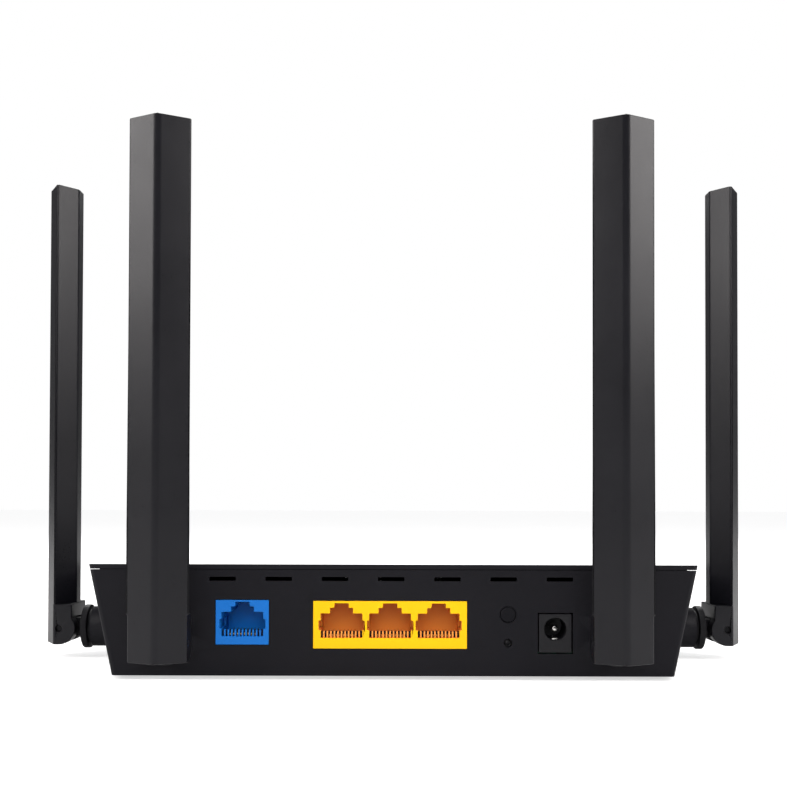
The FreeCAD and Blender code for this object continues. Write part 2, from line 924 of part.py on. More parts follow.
def network_socket(kind):
    """A moulded block on the board whose face fills its window, with one stepped opening a plug."""
    across = (f"{kind}_x - {kind}_width / 2", f"{kind}_x + {kind}_width / 2")
    high = f"base + {kind}_high"
    nose = box(f"{kind}_nose", across, ("rear", "rear + wall * 2"), (f"base + {kind}_low", high))
    along = ("rear + wall + lip_clearance", f"rear + {kind}_depth")
    seat = box(f"{kind}_seat", across, along, ("board_face", high))
    steps = (
        ("plug", "plug_width", "plug_drop"),
        ("step", "step_width", "step_rise"),
        ("latch", "latch_width", "latch_rise"),
    )
    openings = []
    for i, middle in enumerate(jack_centres(kind)):
        level = f"base + {kind}_floor"
        for name, width, rise in steps:
            limits = (f"{middle} - {width} / 2", f"{middle} + {width} / 2")
            below = level if name == "plug" else f"{level} - wall / 2"
            level = f"{level} + {rise}"
            openings.append(
                box(f"{kind}_{name}_{i}", limits, ("rear - wall", "rear + plug_depth"), (below, level))
            )
    node(cut(f"{kind}_socket_solid", join(f"{kind}_whole", nose, seat), *openings), f"{kind}_socket")


def socket_contacts(kind):
    """Eight sprung wires in each opening: along the floor, then sloping up towards the back."""
    wires = []
    low = size("base") + size(f"{kind}_floor")
    high = low + size("contact_lift")
    thick = size("contact_thickness")
    width = size("contact_width")
    first = size("rear") + size("contact_start")
    bend = first + size("contact_flat")
    end = size("rear") + size("contact_end")
    outline = [
        (first, low),
        (bend, low),
        (end, high),
        (end, high + thick),
        (bend, low + thick),
        (first, low + thick),
    ]
    middles = [size("wan_x")] if kind == "wan" else [
        size("lan_x") + i * size("socket_pitch") for i in (-1, 0, 1)
    ]
    for middle in middles:
        for i in range(8):
            x = middle + (i - 3.5) * size("contact_pitch") - width / 2
            points = [FreeCAD.Vector(x, y, z) for y, z in outline]
            face = Part.Face(Part.makePolygon(points + points[:1]))
            wires.append(face.extrude(FreeCAD.Vector(width, 0, 0)))
    shape_node(f"{kind}_contacts", Part.makeCompound(wires), len(wires))


def power_socket():
    """The round power inlet: a block with a bore, its centre pin and the leaf that touches a plug's sleeve."""
    across = ("jack_x - jack_width / 2", "jack_x + jack_width / 2")
    block = box("jack_block", across, ("rear", "rear + jack_depth"), ("board_face", "base + jack_high"))
    level = "base + jack_level"
    inner = "rear + jack_bore_depth"
    bore = rod("jack_bore", "y", "jack_bore_radius", ("rear - wall", inner), x="jack_x", z=level)
    stem = rod("jack_stem_hole", "y", "jack_pin_neck", ("rear", f"{inner} + wall"), x="jack_x", z=level)
    node(cut("jack_solid", block, bore, stem), "power_socket")
    root = f"{inner} - jack_pin_root"
    shaft = rod(
        "jack_pin_shaft", "y", "jack_pin_radius", ("rear + jack_pin_start", root), x="jack_x", z=level
    )
    neck = rod(
        "jack_pin_neck_rod",
        "y",
        "jack_pin_neck",
        ("rear + leaf_start", f"{inner} + wall"),
        x="jack_x",
        z=level,
    )
    node(join("jack_pin_solid", shaft, neck), "power_pin")
    low = f"{level} - jack_bore_radius + leaf_gap"
    across = ("jack_x - leaf_half_width", "jack_x + leaf_half_width")
    node(
        box("jack_leaf", across, ("rear + leaf_start", inner), (low, f"{low} + leaf_thickness")),
        "power_spring",
    )


def pairing_button():
    """The round pairing button behind the panel's hole, its plunger and its switch."""
    level = "base + button_level"
    inner = "rear + wall + face_gap"
    back = f"{inner} + button_flange"
    cap = rod("button_face", "y", "button_radius", ("rear - button_proud", back), x="button_x", z=level)
    flange = rod("button_skirt", "y", "button_flange_radius", (inner, back), x="button_x", z=level)
    node(join("button_solid", cap, flange), "wps_button")
    face = f"{back} + button_stem"
    end = f"{face} + plunger_entry"
    node(
        rod("plunger_rod", "y", "button_plunger_radius", (back, end), x="button_x", z=level),
        "wps_plunger",
    )
    across = ("button_x - switch_half", "button_x + switch_half")
    body = box(
        "switch_block", across, (face, f"{face} + switch_depth"), ("board_face", f"{level} + switch_half")
    )
    span = (f"{face} - wall", f"{end} + button_travel + face_gap")
    well = rod("switch_well", "y", "button_plunger_radius + swivel_gap", span, x="button_x", z=level)
    node(cut("switch_solid", body, well), "wps_switch")


def reset_button():
    """The reset plunger and switch behind the pinhole."""
    level = "base + reset_level"
    face = "rear + wall + reset_stop"
    end = f"{face} + reset_entry"
    node(
        rod(
            "reset_rod",
            "y",
            "reset_plunger_radius",
            ("rear + wall + reset_start", end),
            x="button_x",
            z=level,
        ),
        "reset_plunger",
    )
    across = ("button_x - reset_half", "button_x + reset_half")
    tall = ("board_face", f"{level} + 2 * reset_plunger_radius")
    body = box("reset_block", across, (face, f"{face} + reset_switch_depth"), tall)
    span = (f"{face} - wall", f"{end} + reset_travel + face_gap")
    room = rod("reset_well", "y", "reset_plunger_radius + swivel_gap", span, x="button_x", z=level)
    node(cut("reset_solid", body, room), "reset_switch")


# ---------------------------------------------------------------- aerials

# Each aerial is drawn with its swivel axis along +X, its blade up +Z and its hinge pin along Y. It is then
# turned about Z and moved to its place, so that the four are the same part.
SITES = {
    "left_rear": (-90, "-rear_aerial_x", "rear - rear_pad", "base + rear_aerial_level"),
    "right_rear": (-90, "rear_aerial_x - right_rear_inset", "rear - rear_pad", "base + rear_aerial_level"),
    "left_side": (180, "-side_pad_reach", "side_aerial_y", "base + side_aerial_level"),
    "right_side": (0, "side_pad_reach", "side_aerial_y", "base + side_aerial_level"),
}


def stand(item, site):
    """Turns a finished aerial piece about Z and puts it at its place on the case."""
    angle, x, y, z = SITES[site]
    return move(item, x, y, z, ((0, 0, 1), angle))


def knuckle(site):
    """The hollow swivel: a stub in the bearing, a grooved collar outside and a flat tongue for the pin."""
    tail = "-bearing_length - stub_tail"
    stub = rod(f"{site}_stub", "x", "stub_radius", (tail, "face_gap"))
    waist = rod(f"{site}_waist", "x", "collar_waist", ("face_gap", "collar_end"))
    collar = rod(f"{site}_collar", "x", "collar_radius", ("face_gap + collar_groove", "collar_end"))
    arm = box(
        f"{site}_arm",
        ("collar_end / 2", "pin_reach"),
        ("-tongue_half", "tongue_half"),
        ("-tongue_radius", "tongue_radius"),
    )
    end = rod(f"{site}_arm_end", "y", "tongue_radius", ("-tongue_half", "tongue_half"), x="pin_reach")
    groove = rod(
        f"{site}_groove_outside",
        "x",
        "stub_radius + wall",
        ("-bearing_length - face_gap - clip_thickness", "-bearing_length - face_gap"),
    )
    core = rod(f"{site}_groove_core", "x", "stub_radius - clip_groove", ("-bearing_length - wall", "0"))
    hole = rod(
        f"{site}_lead_hole",
        "x",
        "lead_hole_radius",
        (f"{tail} - wall", "pin_reach + tongue_radius + wall"),
    )
    pin = rod(
        f"{site}_pin_hole",
        "y",
        "pin_radius + pin_gap",
        ("-tongue_half - wall", "tongue_half + wall"),
        x="pin_reach",
    )
    solid = cut(
        f"{site}_knuckle_solid",
        join(f"{site}_knuckle_whole", stub, waist, collar, arm, end),
        cut(f"{site}_groove", groove, core),
        hole,
        pin,
    )
    node(stand(solid, site), f"{site}_knuckle")


def clip(site):
    """The open ring that holds the swivel in its bearing."""
    span = ("-bearing_length - face_gap - clip_thickness", "-bearing_length - face_gap")
    disc = rod(f"{site}_clip_disc", "x", "clip_radius", span)
    hole = rod(f"{site}_clip_hole", "x", "stub_radius - clip_groove", ("-bearing_length - wall", "0"))
    mouth = box(
        f"{site}_clip_mouth",
        ("-bearing_length - wall", "0"),
        ("-stub_radius / 2", "stub_radius / 2"),
        ("-clip_radius - wall", "0"),
    )
    node(stand(cut(f"{site}_clip_solid", disc, hole, mouth), site), f"{site}_clip")


def pins(site):
    """Two short hinge pins, one from each side, that leave the middle free for the aerial lead."""
    right = rod(f"{site}_right_pin", "y", "pin_radius", ("pin_start", "pin_end"), x="pin_reach")
    left = rod(f"{site}_left_pin", "y", "pin_radius", ("-pin_end", "-pin_start"), x="pin_reach")
    pair = group(f"{site}_pin_pair", [left, right])
    node(stand(pair, site), f"{site}_hinge_pins", 2)


def facet(width):
    """How far out the blade's facet lies at a distance from its ridge line."""
    return f"(blade_ridge - (blade_ridge - blade_corner) * ({width}) / blade_half)"


def blade_section(half, back, skin):
    """The blade's section: a flat back, two sides and two facets that meet at the ridge."""
    side = f"{half} - {skin}"
    shoulder = f"{facet(half)} - {skin} / 2"
    return [
        (back, f"-({side})"),
        (shoulder, f"-({side})"),
        (f"blade_ridge - {skin}", "0"),
        (shoulder, side),
        (back, side),
    ]


def blade_shell(site):
    """The outer half of the blade with its two hinge cheeks, hollow above the seam."""
    seam = "blade_seam"
    ridge = size("blade_ridge")

    def on_ridge(middle, direction):
        return abs(middle.x - ridge) < 0.01 and abs(direction.z) > 1

    upper = prism(
        f"{site}_upper", "XY_Plane", blade_section("blade_half", "blade_joint", "0"), (seam, "blade_top")
    )
    round_edges(upper, "ridge_rounding", on_ridge)
    hollow = prism(
        f"{site}_hollow",
        "XY_Plane",
        blade_section("blade_half", "blade_back", "blade_wall"),
        (f"{seam} + blade_wall", "blade_top - blade_wall"),
    )
    lower = prism(
        f"{site}_lower",
        "XY_Plane",
        blade_section("cheek_half", "pin_reach - cheek_radius", "0"),
        ("-cheek_radius", seam),
    )
    round_edges(lower, "ridge_rounding", on_ridge)
    across = ("-blade_half", "blade_half")
    eye = rod(f"{site}_eye", "y", "cheek_radius", across, x="pin_reach")
    web = box(f"{site}_web", ("blade_back", "blade_ridge"), across, ("0", seam))
    toe = box(f"{site}_toe", ("pin_reach", "blade_ridge"), across, ("-cheek_radius", seam))
    root = overlap(f"{site}_root", lower, join(f"{site}_root_side", eye, web, toe))
    gap = "(tongue_half + slot_gap)"
    reach = "tongue_radius + slot_gap * 2"
    slot = box(
        f"{site}_slot", ("0", f"pin_reach + {reach}"), (f"-{gap}", gap), ("-cheek_radius * 2", reach)
    )
    bore = rod(f"{site}_cheek_bore", "y", "pin_radius", across, x="pin_reach")
    lead = rod(
        f"{site}_blade_lead_hole",
        "z",
        "lead_hole_radius",
        ("0", f"{seam} + blade_wall * 2"),
        x="pin_reach",
    )
    solid = cut(f"{site}_shell_solid", join(f"{site}_shell_whole", upper, root), hollow, slot, bore, lead)
    node(stand(solid, site), f"{site}_blade_shell")


def blade_back(site):
    """The ridged cover that closes the back of the blade above the seam."""
    inner = "blade_back_half"
    points = [
        ("blade_back", f"-{inner}"),
        ("blade_joint", "-blade_half"),
        ("blade_joint", "blade_half"),
        ("blade_back", inner),
    ]
    plate = prism(f"{site}_back_plate", "XY_Plane", points, ("blade_seam", "blade_top"))
    back = size("blade_back")

    def on_back(middle, direction):
        return abs(middle.x - back) < 0.01 and abs(direction.z) > 1

    round_edges(plate, "blade_back_rounding", on_back)
    narrow = "(blade_back_half - blade_wall / 3)"
    wide = "(blade_half - blade_wall * 1.75)"
    hollow = [
        ("blade_back + blade_wall", f"-{narrow}"),
        ("blade_joint", f"-{wide}"),
        ("blade_joint", wide),
        ("blade_back + blade_wall", narrow),
    ]
    height = ("blade_seam + blade_wall", "blade_top - blade_wall")
    room = prism(f"{site}_back_room", "XY_Plane", hollow, height)
    node(stand(cut(f"{site}_back_solid", plate, room), site), f"{site}_blade_back")


def radiator(site):
    """The flat aerial strip that stands inside the blade."""
    half = "radiator_width / 2"
    span = ("blade_seam + blade_wall", "blade_top - blade_wall")
    strip = box(
        f"{site}_strip", ("blade_corner", "blade_corner + radiator_thickness"), (f"-{half}", half), span
    )
    node(stand(group(f"{site}_strip_group", [strip]), site), f"{site}_radiator")


def aerial_leads():
    """Four thin coaxial leads from the swivels to their plugs on the board, and the plugs."""
    rear = size("rear")
    inside = size("bearing_length") + size("stub_tail") + size("lead_start")
    reach = size("plug_x") + size("plug_radius") + size("plug_gap")
    # each route's corners: how far out from the middle, and how far along from the rear panel
    back = size("plug_back")

    def rear_route(inset):
        out = size("rear_aerial_x") - inset
        far = [(out, inside - size("rear_pad")), (out, 24.0), (62.0, 42.0)]
        return far + [(reach + 6.0, back), (reach, back)]

    along = size("side_aerial_back")
    end = along + size("plug_step")
    side_route = [
        (size("side_pad_reach") - inside, along),
        (76.0, along),
        (66.0, along + 12.0),
        (56.0, end),
        (reach, end),
    ]
    plugs = []
    inset = size("right_rear_inset")
    for place in ("rear", "side"):
        level = size("base") + size(f"{place}_aerial_level")
        for hand, sign in (("left", -1), ("right", 1)):
            route = side_route
            if place == "rear":
                route = rear_route(inset if sign > 0 else 0.0)
            points = [FreeCAD.Vector(sign * out, rear + far, level) for out, far in route]
            shape_node(f"{hand}_{place}_lead", sweep(points, size("lead_radius")))
            plugs.append(plug(sign * size("plug_x"), points[-1].y, size("board_face"), level))
    shape_node("lead_plugs", Part.makeCompound(plugs), len(plugs))


def plug(x, y, face, level):
    """A small round radio plug on the board, as high as its lead."""
    tall = level + size("plug_over_lead") - face
    return Part.makeCylinder(size("plug_radius"), tall, FreeCAD.Vector(x, y, face))


def sweep(points, radius):
    """A round tube along straight runs joined by tangent arcs as large as the runs allow."""
    edges = []
    last = points[0]
    for before, corner, after in zip(points, points[1:], points[2:]):
        into = (corner - before).normalize()
        out = (after - corner).normalize()
        turn = into.getAngle(out)
        short = min((corner - before).Length, (after - corner).Length) * 0.45
        start = corner - into * short
        finish = corner + out * short
        bend = short / math.tan(turn / 2)
        toward = (out - into).normalize()
        middle = corner + toward * (bend / math.cos(turn / 2) - bend)
        edges.append(Part.LineSegment(last, start).toShape())
        edges.append(Part.Arc(start, middle, finish).toShape())
        last = finish
    edges.append(Part.LineSegment(last, points[-1]).toShape())
    path = Part.Wire(edges)
    ring = Part.Wire([Part.Circle(points[0], (points[1] - points[0]).normalize(), radius).toShape()])
    return path.makePipeShell([ring], True, False)


def check():
    """Stops the script if an object failed, or a sub-part is empty, broken or in the wrong number of pieces."""
    for item in DOC.Objects:
        if any(word in ("Invalid", "Error") for word in item.State):
            raise RuntimeError(f"{item.Label} failed: {item.State}")
    for item, label, count in NODES:
        shape = item.Shape
        if shape.isNull() or not shape.isValid():
            raise RuntimeError(f"{label} has no valid shape")
        if len(shape.Solids) != count:
            raise RuntimeError(f"{label} has {len(shape.Solids)} solids, not {count}")


fill_sheet()
LENGTHS = derived_lengths()
bottom_case()
top_cover()
feet_and_screws()
main_board()
chips()
heat_sink()
board_parts()
light_guide()
for socket in ("wan", "lan"):
    network_socket(socket)
    socket_contacts(socket)
power_socket()
pairing_button()
reset_button()
for place in SITES:
    knuckle(place)
    clip(place)
    pins(place)
    blade_shell(place)
    blade_back(place)
    radiator(place)
aerial_leads()
DOC.recompute()
check()
os.makedirs("parts", exist_ok=True)
for part, part_name, _ in NODES:
    part.Shape.exportStep(os.path.join("parts", part_name + ".step"))
    low = part.Shape.BoundBox
    print(f"{part_name}: {low.XLength:.1f} x {low.YLength:.1f} x {low.ZLength:.1f}")
print(len(NODES), "sub-parts")
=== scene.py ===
"""The looks of a flat wireless router with four folding blade aerials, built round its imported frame."""

from __future__ import annotations

import logging
import math
from dataclasses import dataclass, field
from enum import Enum
from typing import Any, Callable, Iterable, Sequence

import bmesh
import bpy
from mathutils import Matrix, Vector

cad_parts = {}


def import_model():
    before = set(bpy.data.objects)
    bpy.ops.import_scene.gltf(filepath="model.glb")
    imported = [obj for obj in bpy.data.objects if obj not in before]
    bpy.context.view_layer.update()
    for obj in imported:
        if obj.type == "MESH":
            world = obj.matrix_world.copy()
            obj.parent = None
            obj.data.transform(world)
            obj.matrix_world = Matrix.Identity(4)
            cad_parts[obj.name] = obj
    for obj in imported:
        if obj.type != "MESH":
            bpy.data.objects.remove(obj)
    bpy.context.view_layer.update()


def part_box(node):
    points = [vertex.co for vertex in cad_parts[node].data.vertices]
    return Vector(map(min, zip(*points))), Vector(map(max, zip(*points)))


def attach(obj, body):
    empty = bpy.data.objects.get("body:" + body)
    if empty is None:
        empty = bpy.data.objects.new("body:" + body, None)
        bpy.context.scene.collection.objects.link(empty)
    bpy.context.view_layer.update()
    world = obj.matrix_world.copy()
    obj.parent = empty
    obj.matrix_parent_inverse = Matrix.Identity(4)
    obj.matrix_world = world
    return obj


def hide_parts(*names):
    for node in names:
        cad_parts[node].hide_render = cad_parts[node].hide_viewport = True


LOG = logging.getLogger("router")
MM = 0.001
MERGE = 0.002 * MM
SMOOTH_ANGLE = math.radians(32)
BEVEL_ANGLE = math.radians(38)
FLAT_ANGLE = math.radians(0.6)
BEVEL_RINGS = 2
QUARTER = math.pi / 2
BLACK = (0.0, 0.0, 0.0)
WHITE = (1.0, 1.0, 1.0)
NOISE_LOW, NOISE_HIGH = 0.32, 0.68
GRAIN_FLOOR = 0.0004
Triple = tuple[float, float, float]
Box = tuple[Vector, Vector]
Item = bpy.types.Object


class Rig(Enum):
    """The bodies that pieces ride on."""

    HOUSING = "housing"
    PAIRING = "pairing_button"
    RESET = "reset_button"


class Site(Enum):
    """Where an aerial stands, as its nodes and bodies spell it."""

    LEFT_REAR = "left_rear"
    RIGHT_REAR = "right_rear"
    LEFT_SIDE = "left_side"
    RIGHT_SIDE = "right_side"


# --- nodes


class Signal:
    """One output socket, with arithmetic that adds Math nodes to its tree."""

    def __init__(self, book: NodeBook, socket: bpy.types.NodeSocket) -> None:
        """Wraps a socket of a tree."""
        self.book = book
        self.socket = socket

    def _math(self, operation: str, left: Any, right: Any) -> Signal:
        """Adds one Math node."""
        return self.book.add("ShaderNodeMath", {"operation": operation}, {0: left, 1: right})

    def __add__(self, other: Any) -> Signal:
        """Sum."""
        return self._math("ADD", self, other)

    def __radd__(self, other: Any) -> Signal:
        """Sum, reflected."""
        return self._math("ADD", other, self)

    def __sub__(self, other: Any) -> Signal:
        """Difference."""
        return self._math("SUBTRACT", self, other)

    def __rsub__(self, other: Any) -> Signal:
        """Difference, reflected."""
        return self._math("SUBTRACT", other, self)

    def __mul__(self, other: Any) -> Signal:
        """Product."""
        return self._math("MULTIPLY", self, other)

    def __rmul__(self, other: Any) -> Signal:
        """Product, reflected."""
        return self._math("MULTIPLY", other, self)

    def above(self, limit: float) -> Signal:
        """1 where the value is more than a limit, else 0."""
        return self._math("GREATER_THAN", self, limit)

    def of(self, name: str) -> Signal:
        """Another output of the same node."""
        return Signal(self.book, self.socket.node.outputs[name])


class NodeBook:
    """Adds nodes to one tree, by type, settings and inputs."""

    def __init__(self, tree: bpy.types.NodeTree) -> None:
        """Starts on an empty tree."""
        self.tree = tree
        tree.nodes.clear()

    def add(
        self, kind: str, settings: dict[str, Any] | None = None, inputs: dict[Any, Any] | None = None
    ) -> Signal:
        """Adds any node.

        Args:
            kind: The node's type.
            settings: Its own properties, set first; "stops" fills a colour ramp.
            inputs: Values or signals for its sockets, by name or place.

        Returns:
            Its first output that is switched on.
        """
        node = self.tree.nodes.new(kind)
        for name, value in (settings or {}).items():
            if name == "stops":
                self._fill_ramp(node.color_ramp, value)
            else:
                setattr(node, name, value)
        for key, value in (inputs or {}).items():
            if isinstance(value, Signal):
                self.tree.links.new(value.socket, node.inputs[key])
            else:
                node.inputs[key].default_value = value
        live = [s for s in node.outputs if s.enabled]
        return Signal(self, live[0]) if live else Signal(self, None)

    @staticmethod
    def _fill_ramp(ramp: bpy.types.ColorRamp, stops: Sequence[tuple[float, Triple]]) -> None:
        """Sets a ramp's stops, each a place and a colour."""
        while len(ramp.elements) < len(stops):
            ramp.elements.new(1.0)
        for element, (place, colour) in zip(ramp.elements, stops):
            element.position = place
            element.color = (*colour, 1.0)


class Shade(NodeBook):
    """A surface material with object coordinates at hand."""

    def __init__(self, name: str) -> None:
        """Makes the material and its coordinates."""
        self.material = bpy.data.materials.new(name)
        self.material.use_nodes = True
        super().__init__(self.material.node_tree)
        self.place = self.add("ShaderNodeTexCoord").of("Object")

    def stretched(self, scale: Triple, turn: Triple = (0.0, 0.0, 0.0)) -> Signal:
        """Object coordinates stretched and turned."""
        inputs = {"Vector": self.place, "Scale": scale, "Rotation": turn}
        return self.add("ShaderNodeMapping", None, inputs)

    def noise(
        self, grain_mm: float, detail: float = 3.0, rough: float = 0.5, at: Signal | None = None
    ) -> Signal:
        """A noise value whose blobs are about grain_mm across."""
        inputs = {"Vector": at or self.place, "Scale": 1.0 / (grain_mm * MM)}
        return self.add("ShaderNodeTexNoise", None, {**inputs, "Detail": detail, "Roughness": rough})

    def mix(self, share: Any, low: Any, high: Any) -> Signal:
        """A colour between two colours."""
        inputs = {"Factor": share, 6: self.colour(low), 7: self.colour(high)}
        settings = {"data_type": "RGBA", "clamp_factor": True}
        return self.add("ShaderNodeMix", settings, inputs)

    @staticmethod
    def colour(value: Any) -> Any:
        """A colour with its alpha, or the signal as it is."""
        return value if isinstance(value, Signal) else (*value, 1.0)

    def spread(self, value: Signal, low: float, high: float) -> Signal:
        """A noise value drawn out to a range, as noise stays near one half."""
        return self.ramp(value, NOISE_LOW, NOISE_HIGH, low, high)

    def ramp(self, value: Signal, start: float, end: float, low: float = 0.0, high: float = 1.0) -> Signal:
        """A value that goes from low to high between start and end, and stays there."""
        inputs = {"Value": value, 1: start, 2: end, 3: low, 4: high}
        return self.add("ShaderNodeMapRange", {"clamp": True}, inputs)

    def bump(self, height: Signal, depth_mm: float, strength: float = 1.0) -> Signal:
        """A normal from a height of so many millimetres."""
        inputs = {"Height": height, "Distance": depth_mm * MM, "Strength": strength}
        return self.add("ShaderNodeBump", None, inputs)

    def surface(self, **sockets: Any) -> bpy.types.Material:
        """Ends the material with one principled surface.

        Args:
            sockets: The shader's sockets, with _ for a space.

        Returns:
            The material.
        """
        named = {}
        for word, value in sockets.items():
            key = word.replace("_", " ")
            named[key] = self.colour(value) if isinstance(value, tuple) and len(value) == 3 else value
        shader = self.add("ShaderNodeBsdfPrincipled", None, named)
        self.add("ShaderNodeOutputMaterial", None, {"Surface": shader})
        return self.material


# --- finishes


@dataclass(frozen=True)
class Finish:
    """A named finish for one of the record's material slots."""

    slot: str
    colour: Triple

    def material(self) -> bpy.types.Material:
        """The finish's material, made on first use."""
        name = self.slot + "_finish"
        return bpy.data.materials.get(name) or self.make(Shade(name))

    def make(self, shade: Shade) -> bpy.types.Material:
        """Builds the nodes."""
        raise NotImplementedError


@dataclass(frozen=True)
class Moulding(Finish):
    """Moulded plastic with a spark-eroded grain and faint flow marks."""

    roughness: float = 0.5
    grain_mm: float = 0.35
    depth_mm: float = 0.012
    specular: float = 0.5
    mottle: float = 0.12
    coat: float = 0.0

    def tint(self, shade: Shade, plain: Signal) -> Signal:
        """The colour as it is."""
        return plain

    def make(self, shade: Shade) -> bpy.types.Material:
        """Builds the nodes."""
        grain = shade.noise(self.grain_mm, 2.0, 0.55)
        pits = shade.add(
            "ShaderNodeTexVoronoi", {"feature": "SMOOTH_F1"},
            {"Vector": shade.place, "Scale": 1.0 / (self.grain_mm * 1.6 * MM), "Smoothness": 0.6},
        )
        flow = shade.noise(26.0, 3.0, 0.6)
        relief = grain * 0.6 + pits * 0.4
        darker = tuple(c * (1 - self.mottle) for c in self.colour)
        lighter = tuple(min(1.0, c * (1 + self.mottle) + GRAIN_FLOOR) for c in self.colour)
        tint = shade.mix(shade.spread(flow * 0.65 + grain * 0.35, 0.0, 1.0), darker, lighter)
        rough = shade.spread(flow * 0.4 + grain * 0.6, self.roughness - 0.06, self.roughness + 0.07)
        return shade.surface(
            Base_Color=self.tint(shade, tint), Roughness=rough, Specular_IOR_Level=self.specular,
            Coat_Weight=self.coat, Coat_Roughness=0.3, Normal=shade.bump(relief, self.depth_mm),
        )


@dataclass(frozen=True)
class PaintedShadeSocketry(Moulding):
    """Coloured moulded plastic with light and shade painted into its mouths, as another colour behind the
    face.
    """

    # the colour painted behind the face for the mouths' light and shade
    deep: Triple = (0.5, 0.5, 0.5)
    shade_start_mm: float = 0.0
    shade_fade_mm: float = 0.2

    def tint(self, shade: Shade, plain: Signal) -> Signal:
        """The face's colour, or the colour painted behind it for the mouths' light and shade."""
        along = shade.add("ShaderNodeSeparateXYZ", None, {"Vector": shade.place}).of("Y")
        share = shade.ramp(along, (self.shade_start_mm - self.shade_fade_mm) * MM, (self.shade_start_mm + self.shade_fade_mm) * MM)
        return shade.mix(share, plain, self.deep)


@dataclass(frozen=True)
class Sheetmetal(Finish):
    """Plated or brushed metal, with fine streaks along one axis and light tarnish."""

    roughness: float = 0.28
    streak: Triple = (1.0, 1.0, 14.0)
    tarnish: float = 0.25

    def make(self, shade: Shade) -> bpy.types.Material:
        """Builds the nodes."""
        lines = shade.noise(1.4, 4.0, 0.6, shade.stretched(self.streak))
        stain = shade.noise(6.0, 3.0, 0.6)
        dull = tuple(c * (1 - self.tarnish) for c in self.colour)
        tint = shade.mix(shade.spread(stain, 0.0, 1.0), self.colour, dull)
        rough = shade.spread(lines * 0.6 + stain * 0.4, self.roughness - 0.08, self.roughness + 0.12)
        return shade.surface(
            Base_Color=tint, Roughness=rough, Metallic=1.0, Normal=shade.bump(lines, 0.004, 0.6),
        )


@dataclass(frozen=True)
class Rubber(Finish):
    """Soft rubber, dull and faintly powdery."""

    def make(self, shade: Shade) -> bpy.types.Material:
        """Builds the nodes."""
        skin = shade.noise(0.5, 4.0, 0.7)
        bloom = shade.noise(5.0, 3.0, 0.6)
        pale = tuple(c * 1.9 + 0.004 for c in self.colour)
        tint = shade.mix(shade.spread(bloom * 0.7 + skin * 0.3, 0.0, 0.8), self.colour, pale)
        return shade.surface(
            Base_Color=tint, Roughness=shade.spread(skin, 0.72, 0.9), Specular_IOR_Level=0.3,
            Sheen_Weight=0.25, Sheen_Roughness=0.5, Normal=shade.bump(skin, 0.02),
        )


@dataclass(frozen=True)
class Laminate(Finish):
    """Solder-masked board: copper runs under the lacquer, plated holes and a woven core."""

    run: Triple = (0.02, 0.13, 0.07)
    tin: Triple = (0.55, 0.52, 0.42)

    def make(self, shade: Shade) -> bpy.types.Material:
        """Builds the nodes."""
        ripple = {"Vector": shade.place, "Scale": 260.0, "Distortion": 1.2}
        ripple |= {"Detail": 0.0, "Detail Scale": 0.2}
        along, across = (
            shade.add("ShaderNodeTexWave", {"bands_direction": way, "wave_profile": "SIN"}, ripple).of("Fac")
            for way in "XY"
        )
        field_mask = shade.noise(15.0, 0.0).above(0.5)
        bare_mask = shade.noise(11.0, 0.0, 0.5, shade.stretched((1.0, 1.0, 1.0), (0.3, 0.2, 1.1))).above(0.56)
        runs = (along.above(0.62) * field_mask + across.above(0.62) * (1 - field_mask)) * (1 - bare_mask)
        weave = shade.noise(0.8, 2.0)
        inputs = {"Vector": shade.place, "Scale": 180.0, "Randomness": 0.9}
        dots = shade.add("ShaderNodeTexVoronoi", {"feature": "F1"}, inputs)
        vias = 1 - dots.above(0.085)
        lacquer = shade.mix(shade.spread(weave, 0.0, 0.35), self.colour, self.run)
        tracked = shade.mix(runs, lacquer, self.run)
        return shade.surface(
            Base_Color=shade.mix(vias, tracked, self.tin), Roughness=0.34 - vias * 0.06,
            Metallic=vias * 0.9, Specular_IOR_Level=0.55, Normal=shade.bump(runs + vias * 0.5, 0.035),
        )


@dataclass(frozen=True)
class Resin(Finish):
    """Clear or milky resin for light guides and lamps."""

    clear: float = 0.7
    roughness: float = 0.22

    def make(self, shade: Shade) -> bpy.types.Material:
        """Builds the nodes."""
        haze = shade.noise(1.2, 3.0, 0.6)
        tint = shade.mix(shade.spread(haze, 0.0, 0.6), self.colour, tuple(c * 0.8 for c in self.colour))
        return shade.surface(
            Base_Color=tint, Roughness=shade.spread(haze, self.roughness - 0.06, self.roughness + 0.08),
            Transmission_Weight=self.clear, IOR=1.49, Normal=shade.bump(haze, 0.008),
        )


CASE = Moulding("case_plastic", (0.0058, 0.0056, 0.0078), 0.56, 0.42, 0.02, 0.18, 0.16)
AERIAL = Moulding("aerial_plastic", (0.0050, 0.0049, 0.0068), 0.33, 0.34, 0.010, 0.3, 0.12)
HINGE = Moulding("hinge_plastic", (0.0050, 0.0048, 0.0062), 0.48, 0.36, 0.014, 0.25, 0.12)
# how far back from the middle of the router the sockets' faces end and their mouths begin; the light and
# shade painted into the mouths starts here
MOUTH_SHADE_MM = -55.8
